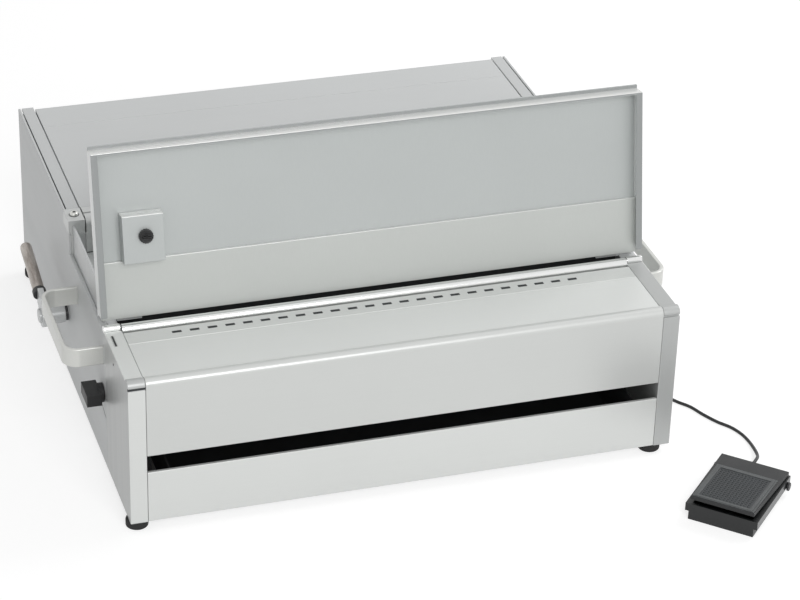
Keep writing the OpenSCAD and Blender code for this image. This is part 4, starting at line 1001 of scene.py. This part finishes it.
    def tie(self) -> bpy.types.Object:
        """Makes the flat tie that holds the coil's turns together.

        Returns:
            The tie.
        """
        shape = bmesh.new()
        x, y = self.coil_middle
        low = (x + self.tie_inner, y - self.tie_half, self.tie_low)
        high = (x + self.tie_outer, y + self.tie_half, self.tie_high)
        add_block(shape, low, high, MILLIMETRE)
        along = [edge for edge in shape.edges if abs(edge.verts[0].co.y - edge.verts[1].co.y) > 0.004]
        bmesh.ops.bevel(
            shape, geom=along, offset=self.tie_round, affect="EDGES", segments=4, profile=0.5, material=-1
        )
        ends = [face for face in shape.faces if abs(face.normal.y) > 0.9]
        bmesh.ops.delete(shape, geom=ends, context="FACES_ONLY")
        bmesh.ops.recalc_face_normals(shape, faces=shape.faces[:])
        bmesh.ops.solidify(shape, geom=shape.faces[:], thickness=self.tie_wall)
        return finish_piece("cord_tie", shape, JACKET, "chassis")


@dataclass
class Housing(SubAssembly):
    """Sheet metal of the machine: cheeks, side panels, covers and the rear housing."""

    eased: tuple[EasedPart, ...] = (
        EasedPart(
            "cheek_left",
            SILVER_SHADED,
            0.6,
            2,
            (
                # Painted highlight: the left cheek's front face in a lighter copy of the coat.
                Accent(SILVER_LIGHT, Zone.BODY, (-226.0, -0.1, 1.0), (-210.0, 0.1, 120.0)),
                # Painted highlight on the cheek's top face.
                Accent(PALE_HIGHLIT, Zone.BODY, (-226.0, 2.0, 125.5), (-210.0, 83.0, 126.5)),
            ),
        ),
        EasedPart("cheek_right", SILVER_SHADED, 0.6),
        EasedPart("side_panel_left", SILVER_BACK, 0.5),
        EasedPart("side_panel_right", SILVER_BACK, 0.5),
        EasedPart("side_frame_left", FRAME_STEEL, 0.5),
        EasedPart("side_frame_right", FRAME_STEEL, 0.5),
        EasedPart("rear_panel", SILVER_TOP, 0.5),
        EasedPart("rear_top_cover", SILVER_TOP, 0.5),
        EasedPart("housing_front", SILVER, 0.7),
        EasedPart("corner_blocks", SILVER, 0.8),
        EasedPart(
            "deck_cover",
            SILVER,
            0.4,
            2,
            # Painted shade: the deck's front face in black, for the dark gap under the tray.
            (Accent(BLACK_AND_SHADE, Zone.BODY, (-220.0, 105.5, 100.0), (220.0, 106.6, 124.0)),),
        ),
        EasedPart(
            "front_cover",
            PALE,
            0.4,
            2,
            # Painted highlight on the cover's top face.
            (Accent(PALE_HIGHLIT, Zone.BODY, (-220.0, 10.0, 125.5), (220.0, 61.0, 126.5)),),
        ),
        EasedPart("slot_panel", BLACK_AND_SHADE, 0.2),
        EasedPart("scale_strip", SILVER_LIGHT, 0.5),
        EasedPart("throat_bar", CHROME, 0.4),
        EasedPart(
            "chip_drawer",
            SILVER_LIGHT,
            0.6,
            2,
            # Black inside of the drawer, partly painted shade.
            (Accent(BLACK_AND_SHADE, Zone.BODY, (-215.0, 2.3, -1.0), (215.0, 200.0, 45.0)),),
        ),
        EasedPart("rubber_feet", RUBBER, 1.4, 3),
        EasedPart("power_inlet", BLACK, 0.4),
        EasedPart("power_switch", BLACK, 0.3),
        EasedPart("power_rocker", BLACK, 0.5),
    )
    scale_marks: int = 24
    scale_pitch: float = 14.2875
    mark_length: float = 7.6
    mark_width: float = 3.1
    mark_depth: float = 69.8
    mark_shift: float = -5.7
    mark_low: float = 125.9
    mark_high: float = 126.08
    mark_round: float = 0.0003
    index_slot: tuple[Point, Point] = ((-220.9, 60.1, 124.6), (-219.5, 75.9, 125.9))
    groove: tuple[Point, Point] = ((-224.9, 0.3, 120.75), (-211.1, 1.75, 122.45))
    slanted_slot: tuple[Point, Point] = ((-224.8, 0.1, 0.05), (-223.1, 19.9, 1.45))
    slant_foot: Point = (0.0, 84.5, 46.0)
    slant: float = 14.0
    side_pin: Profile = ((0.0, -1.0), (1.0, -1.0), (1.0, 0.1), (0.7, 0.3), (0.0, 0.3))
    side_pin_place: Point = (-225.0, 50.0, 116.0)
    seal_sides: tuple[tuple[float, float], ...] = ((-222.9, -219.1), (219.1, 222.9))
    seal_spans: tuple[tuple[float, float, float, float], ...] = (
        (167.5, 218.0, 117.0, 123.0), (215.3, 218.0, 123.0, 149.5), (415.0, 423.6, 3.3, 152.6),
    )
    slot_seals: tuple[tuple[Point, Point], ...] = (
        ((-221.4, 60.1, 124.6), (-220.95, 75.9, 125.95)), ((-219.45, 60.1, 124.6), (-219.1, 75.9, 125.95)),
    )
    blades: tuple[tuple[float, float], ...] = ((-157.0, 38.5), (-150.0, 42.0), (-143.0, 38.5))
    blade_near: float = 410.0
    blade_far: float = 423.2
    blade_half: tuple[float, float] = (1.1, 2.1)

    def build(self) -> None:
        """Makes the eased sheets, the row of marks, the dark fillings of painted shade, the seals and the
        blades.
        """
        super().build()
        self.scale_row()
        self.shade_fillings()
        self.frame_seals()
        self.inlet_blades()

    def scale_row(self) -> bpy.types.Object:
        """Prints a dash for each hole on the strip before the throat.

        Returns:
            The row of dashes.
        """
        shape = bmesh.new()
        for index in range(self.scale_marks):
            middle = (index - (self.scale_marks - 1) / 2.0) * self.scale_pitch + self.mark_shift
            left, right = middle - self.mark_length / 2, middle + self.mark_length / 2
            near, far = self.mark_depth - self.mark_width / 2, self.mark_depth + self.mark_width / 2
            add_block(shape, (left, near, self.mark_low), (right, far, self.mark_high), FIT)
        upright = [edge for edge in shape.edges if abs(edge.verts[0].co.z - edge.verts[1].co.z) > 0.0001]
        bmesh.ops.bevel(
            shape, geom=upright, offset=self.mark_round, affect="EDGES", segments=2, profile=0.5, material=-1
        )
        return finish_piece("hole_scale", shape, INK_AND_SHADE, "chassis")

    def shade_fillings(self) -> bpy.types.Object:
        """Fills the left side's groove, index slot and slanted slot with dark ink as painted shade, and sets
        the small dark pin.

        Returns:
            The painted-shade fillings and the pin.
        """
        shape = bmesh.new()
        add_block(shape, *self.index_slot, FIT)
        add_block(shape, *self.groove, FIT)
        tilt = Matrix.Rotation(math.radians(self.slant), 4, "X")
        add_block(shape, *self.slanted_slot, FIT @ Matrix.Translation(self.slant_foot) @ tilt)
        pin = turned(self.side_pin, 16)
        add_shape(shape, pin, FIT @ Matrix.Translation(self.side_pin_place) @ Facing.LEFT.turn)
        return finish_piece("shade_fillings", shape, INK_AND_SHADE, "chassis")

    def frame_seals(self) -> bpy.types.Object:
        """Lays the pale seals between the side panels and the frames, and beside the index slot.

        Returns:
            The seals.
        """
        shape = bmesh.new()
        for left, right in self.seal_sides:
            for near, far, low, high in self.seal_spans:
                add_block(shape, (left, near, low), (right, far, high), FIT)
        for seal in self.slot_seals:
            add_block(shape, *seal, FIT)
        ease(shape, 0.1)
        return finish_piece("frame_seals", shape, SILVER_LIGHT, "chassis")

    def inlet_blades(self) -> bpy.types.Object:
        """Sleeves the three pins in the power inlet with bright metal.

        Returns:
            The blades.
        """
        shape = bmesh.new()
        wide, tall = self.blade_half
        for x, z in self.blades:
            low, high = (x - wide, self.blade_near, z - tall), (x + wide, self.blade_far, z + tall)
            add_block(shape, low, high, FIT)
        ease(shape, 0.3)
        return finish_piece("inlet_blades", shape, FIXING_BRIGHT, "chassis")


@dataclass
class PaperTray(SubAssembly):
    """Sloped tray, its lower plate, the edge guide and its clamp knob."""

    eased: tuple[EasedPart, ...] = (
        EasedPart(
            "paper_tray",
            TRAY,
            0.5,
            2,
            (
                # Painted highlight: the top band in a lighter copy of the coat.
                Accent(TRAY_HIGHLIGHT, Zone.SLOPE, (-230.0, -11.0, 148.3), (230.0, 2.4, 149.3)),
                Accent(TRAY_LIP, Zone.SLOPE, (-230.0, 2.4, 149.3), (230.0, 2.6, 153.0)),
                Accent(TRAY_LIP, Zone.SLOPE, (-230.0, -9.6, 10.0), (230.0, -9.4, 146.5)),
                # Painted light: the flanges' inner walls in a lighter copy of the coat, against their shade.
                Accent(TRAY_WALL_LIT, Zone.SLOPE, (-226.1, -9.0, 10.0), (-225.9, 4.0, 149.0)),
                Accent(TRAY_WALL_LIT, Zone.SLOPE, (223.9, -9.0, 10.0), (224.1, 4.0, 149.0)),
            ),
        ),
        EasedPart(
            "tray_lower_plate",
            TRAY_LOW,
            0.4,
            2,
            # Painted highlight on the plate's top edge.
            (Accent(TRAY_HIGHLIGHT, Zone.SLOPE, (-230.0, -1.0, 56.5), (230.0, 3.0, 57.5)),),
        ),
        EasedPart(
            "edge_guide",
            TRAY,
            1.4,
            3,
            # Painted highlight on the guide's top face.
            (Accent(TRAY_HIGHLIGHT, Zone.SLOPE, (-230.0, -11.0, 95.4), (230.0, 3.0, 97.0)),),
        ),
    )
    knob_across: float = -187.0
    knob_rise: float = 79.53
    knob_radius: float = 5.75
    knob_length: float = 4.0
    knob_face: float = -10.1
    knob_round: float = 0.8
    dish_rim: float = 0.9
    dish_depth: float = 0.4
    flutes: int = 18
    flute_depth: float = 0.035
    clamp_screw: Profile = ((0.0, 0.2), (1.9, 0.2), (1.9, -11.4), (1.5, -11.8), (0.0, -11.8))

    def build(self) -> None:
        """Makes the tray's sheets, the edge guide and its knob."""
        super().build()
        self.clamp_knob()

    def clamp_knob(self) -> bpy.types.Object:
        """Makes the fluted clamp knob with its dished end and its screw.

        Returns:
            The knob.
        """
        shape = bmesh.new()
        rim = bmesh.ops.create_circle(
            shape, cap_ends=True, radius=self.knob_radius, segments=self.flutes * 4
        )["verts"]
        for vert in rim:
            angle = math.atan2(vert.co.y, vert.co.x)
            vert.co *= 1.0 - self.flute_depth * (1.0 - math.cos(self.flutes * angle))
        raised = bmesh.ops.extrude_face_region(shape, geom=shape.faces[:])["geom"]
        bmesh.ops.translate(
            shape,
            vec=(0.0, 0.0, self.knob_length - self.knob_round),
            verts=[item for item in raised if isinstance(item, bmesh.types.BMVert)],
        )
        top = max(shape.faces, key=lambda face: face.calc_center_median().z)
        bmesh.ops.inset_region(shape, faces=[top], thickness=self.knob_round, depth=self.knob_round)
        bmesh.ops.inset_region(shape, faces=[top], thickness=self.dish_rim, depth=-self.dish_depth)
        bmesh.ops.recalc_face_normals(shape, faces=shape.faces[:])
        add_shape(shape, turned(self.clamp_screw, 20), Matrix.Identity(4))
        place = SLOPE @ Matrix.Translation((self.knob_across, self.knob_face, self.knob_rise))
        bmesh.ops.transform(shape, matrix=place @ Facing.FRONT.turn, verts=shape.verts[:])
        return finish_piece("clamp_knob", shape, KNOB_BLACK, "edge_knob", ("edge_guide_knob",))


@dataclass
class SideFittings(SubAssembly):
    """Carry handles, corner screws, the lock lever and the winged knob of the paper stop."""

    eased: tuple[EasedPart, ...] = (
        EasedPart("carry_handle_left", HANDLE, 0.9, 3),
        EasedPart("carry_handle_right", HANDLE, 0.9, 3),
        EasedPart("margin_knob", KNOB_BLACK, 1.0, 3),
        EasedPart("lock_arm", FRAME_STEEL, 0.8),
        EasedPart("lock_shaft", FRAME_STEEL, 0.6),
    )
    corner_screw: Point = (218.0, 226.0, 155.0)
    screw_head: Profile = (
        (0.0, -6.0), (2.2, -6.0), (2.5, -5.6), (2.5, 0.0), (3.6, 0.0), (3.6, 0.9), (3.2, 1.9),
        (2.4, 2.5), (1.6, 2.6), (1.5, 2.5), (1.5, 1.2), (0.0, 1.2),
    )
    screw_ring: Profile = ((0.0, -0.3), (4.3, -0.3), (4.3, 0.15), (0.0, 0.15))
    screw_recess: Profile = ((0.0, 1.1), (1.45, 1.1), (1.45, 1.6), (1.2, 1.8), (0.0, 1.8))
    grip_foot: Point = (-245.5, 242.5, 74.5)
    grip_tilt: float = 12.5
    grip_collar: Profile = ((0.0, 0.0), (5.25, 0.0), (5.75, 0.5), (5.75, 5.4), (5.25, 6.0), (0.0, 6.0))
    grip_rod: Profile = (
        (0.0, 5.5), (4.6, 5.5), (4.6, 7.0), (4.9, 8.0), (5.0, 16.0), (5.0, 52.0), (4.95, 60.0),
        (4.6, 62.4), (3.6, 63.6), (0.0, 64.0),
    )
    shaft_end: Point = (-225.6, 230.0, 62.0)
    washer: Profile = ((0.0, 0.0), (6.6, 0.0), (6.6, 1.9), (6.3, 2.4), (0.0, 2.4))

    def build(self) -> None:
        """Makes the fittings of both sides."""
        super().build()
        self.screws()
        self.grip()
        self.shaft_washer()

    def screws(self) -> None:
        """Turns the bright button heads, with painted shade as a dark ring under each and a dark disc in
        each recess.
        """
        heads, marks = bmesh.new(), bmesh.new()
        across, depth, height = self.corner_screw
        for side in (-1.0, 1.0):
            place = FIT @ Matrix.Translation((side * across, depth, height))
            add_shape(heads, turned(self.screw_head, 28), place)
            add_shape(marks, turned(self.screw_ring, 28), place)
            add_shape(marks, turned(self.screw_recess, 6), place)
        finish_piece("screw_heads", heads, FIXING_BRIGHT, "chassis", ("screws",))
        finish_piece("screw_painted_shade", marks, FIXING_SHADE, "chassis")

    def shaft_washer(self) -> bpy.types.Object:
        """Turns the dark washer between the lever's shaft and the panel.

        Returns:
            The washer.
        """
        place = FIT @ Matrix.Translation(self.shaft_end) @ Facing.LEFT.turn
        return finish_piece("shaft_washer", turned(self.washer, place=place), BLACK, "lock_lever")

    def grip(self) -> None:
        """Turns the lever's black collar and its worn round grip."""
        tilt = Matrix.Rotation(math.radians(self.grip_tilt - 90.0), 4, "X")
        place = FIT @ Matrix.Translation(self.grip_foot) @ tilt
        collar, rod = turned(self.grip_collar, place=place), turned(self.grip_rod, place=place)
        finish_piece("grip_collar", collar, BLACK, "lock_lever", ("lock_grip",))
        finish_piece("grip_rod", rod, GRIP, "lock_lever", ("lock_grip",))


@dataclass
class FootSwitch(SubAssembly):
    """Foot switch: shell, hinged tread with a studded pad, and hinge pin."""

    eased: tuple[EasedPart, ...] = (
        EasedPart(
            "pedal_base",
            BASE_SHELL,
            1.0,
            3,
            # Painted light on the wall that faces the right lamp, with a glossier surface.
            (Accent(BASE_GLOSS_LIT, Zone.TREADLE, (29.5, -90.0, -25.0), (40.0, 30.0, 25.0)),),
        ),
        EasedPart(
            "pedal_treadle",
            TREAD_DARK,
            0.6,
            3,
            (Accent(TREAD_LIGHT, Zone.TREADLE, (-24.5, -69.5, 10.5), (24.5, -14.5, 12.0)),),
        ),
        EasedPart("pedal_pin", BLACK, 0.4),
    )
    pad_front: float = -69.0
    pad_length: float = 54.0
    pad_width: float = 48.0
    border: float = 2.8
    sheet_low: float = 10.02
    sheet_high: float = 10.44
    stud_pitch: float = 2.9
    stud_foot: float = 1.45
    stud_tip: float = 0.464
    stud_rise: float = 0.6
    stud_low: float = 10.42
    stud_margin: float = 0.6
    ledge: float = 1.7
    front_ledge: float = 0.9
    ledge_gap: float = 0.05
    ledge_low: float = 10.12
    ledge_high: float = 10.77
    spring_turns: int = 4
    spring_steps: int = 24
    spring_wire: float = 0.0004
    spring_pressed: float = 0.8

    def build(self) -> None:
        """Makes the shell, the tread, its pad, the ledge round the pad and the return spring."""
        super().build()
        self.pad()
        self.pad_ledge()
        self.spring()

    def spring(self) -> bpy.types.Object:
        """Winds the return spring.

        Returns:
            The spring.
        """
        low, high = (Vector(corner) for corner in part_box("pedal_spring"))
        reach = (high.x - low.x) / 2.0 - self.spring_wire
        steps = self.spring_steps * self.spring_turns
        climb = (high.z - low.z - 2.0 * self.spring_wire) / steps
        shape = bmesh.new()
        upright = Matrix.Translation((reach, 0.0, 0.0)) @ Matrix.Rotation(math.pi / 2.0, 4, "X")
        bmesh.ops.create_circle(shape, radius=self.spring_wire, segments=10, matrix=upright)
        bmesh.ops.spin(
            shape,
            geom=shape.verts[:] + shape.edges[:],
            cent=(0.0, 0.0, 0.0),
            axis=(0.0, 0.0, 1.0),
            dvec=(0.0, 0.0, climb),
            angle=math.tau * self.spring_turns,
            steps=steps,
        )
        bmesh.ops.holes_fill(shape, edges=[edge for edge in shape.edges if edge.is_boundary])
        bmesh.ops.recalc_face_normals(shape, faces=shape.faces[:])
        foot = Vector(((low.x + high.x) / 2.0, (low.y + high.y) / 2.0, low.z + self.spring_wire))
        bmesh.ops.translate(shape, vec=foot, verts=shape.verts[:])
        piece = finish_piece("tread_spring", shape, TOOL_STEEL, "chassis", ("pedal_spring",))
        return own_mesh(piece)

    def pad_ledge(self) -> bpy.types.Object:
        """Lays the lighter ledge between the pad's border and the tread's edges.

        Returns:
            The ledge.
        """
        shape = bmesh.new()
        half = self.pad_width / 2.0 + self.ledge_gap
        near, far = self.pad_front - self.ledge_gap, self.pad_front + self.pad_length + self.ledge_gap
        low, high = self.ledge_low, self.ledge_high
        for side in (-1.0, 1.0):
            inner, outer = sorted((side * half, side * (half + self.ledge)))
            add_block(shape, (inner, near - self.front_ledge, low), (outer, far + self.ledge, high), TREADLE)
        add_block(shape, (-half, near - self.front_ledge, low), (half, near, high), TREADLE)
        add_block(shape, (-half, far, low), (half, far + self.ledge, high), TREADLE)
        ease(shape, 0.25)
        return finish_piece("tread_ledge", shape, TREAD_LIGHT, "treadle")

    def pad(self) -> bpy.types.Object:
        """Makes the pad: a thin sheet with rows of small four-sided studs.

        Returns:
            The pad.
        """
        shape = bmesh.new()
        half = self.pad_width / 2.0 - self.border
        near = self.pad_front + self.border
        far = self.pad_front + self.pad_length - self.border
        add_block(shape, (-half, near, self.sheet_low), (half, far, self.sheet_high), TREADLE)
        across = int((2.0 * half - self.stud_margin) / self.stud_pitch)
        along = int((far - near - self.stud_margin) / self.stud_pitch)
        middle = self.stud_low + self.stud_rise / 2.0
        for row in range(along):
            for column in range(across):
                x = (column - (across - 1) / 2.0) * self.stud_pitch
                y = (near + far) / 2.0 + (row - (along - 1) / 2.0) * self.stud_pitch
                bmesh.ops.create_cone(
                    shape,
                    cap_ends=True,
                    segments=4,
                    radius1=self.stud_foot,
                    radius2=self.stud_tip,
                    depth=self.stud_rise,
                    matrix=TREADLE @ Matrix.Translation((x, y, middle)),
                )
        return finish_piece("tread_pad", shape, TREAD, "treadle", smooth=20.0)


@dataclass
class InnerWorks:
    """What the covers hide: each CAD node keeps its shape and gets its own finish."""

    finishes: tuple[tuple[Finish, tuple[str, ...]], ...] = (
        (FRAME_STEEL, ("base_plate", "tray_brackets", "drawer_rails")),
        # Painted shade: the die and guide plates are near black so the gap under the tray looks dark.
        (SHADE_STEEL, ("die_plate", "pin_guide_plate")),
        (TOOL_STEEL, ("punch_pins", "pin_retainer", "pressure_bar", "ram_yokes", "camshaft", "cams")),
        (TOOL_STEEL, ("drive_gear", "pinion", "paper_stop_rod")),
        (BRONZE, ("ram_guides", "camshaft_bearings")),
        (DARK_METAL, ("gearbox", "motor", "motor_bracket")),
        (BOARD, ("control_board",)),
        (BLACK, ("pedal_switch",)),
    )

    def build(self) -> None:
        """Gives each carried node its finish."""
        for finish, nodes in self.finishes:
            for node in nodes:
                for slot in frame["nodes"][node].material_slots:
                    slot.material = finish.material()
                LOG.info("%s keeps its solid", node)


def main() -> None:
    """Builds the scene in order."""
    logging.basicConfig(level=logging.INFO, format="%(message)s")
    for group in (Studio, FootSwitchCord, Housing, PaperTray, SideFittings, FootSwitch, InnerWorks):
        group().build()


if __name__ == "__main__":
    main()
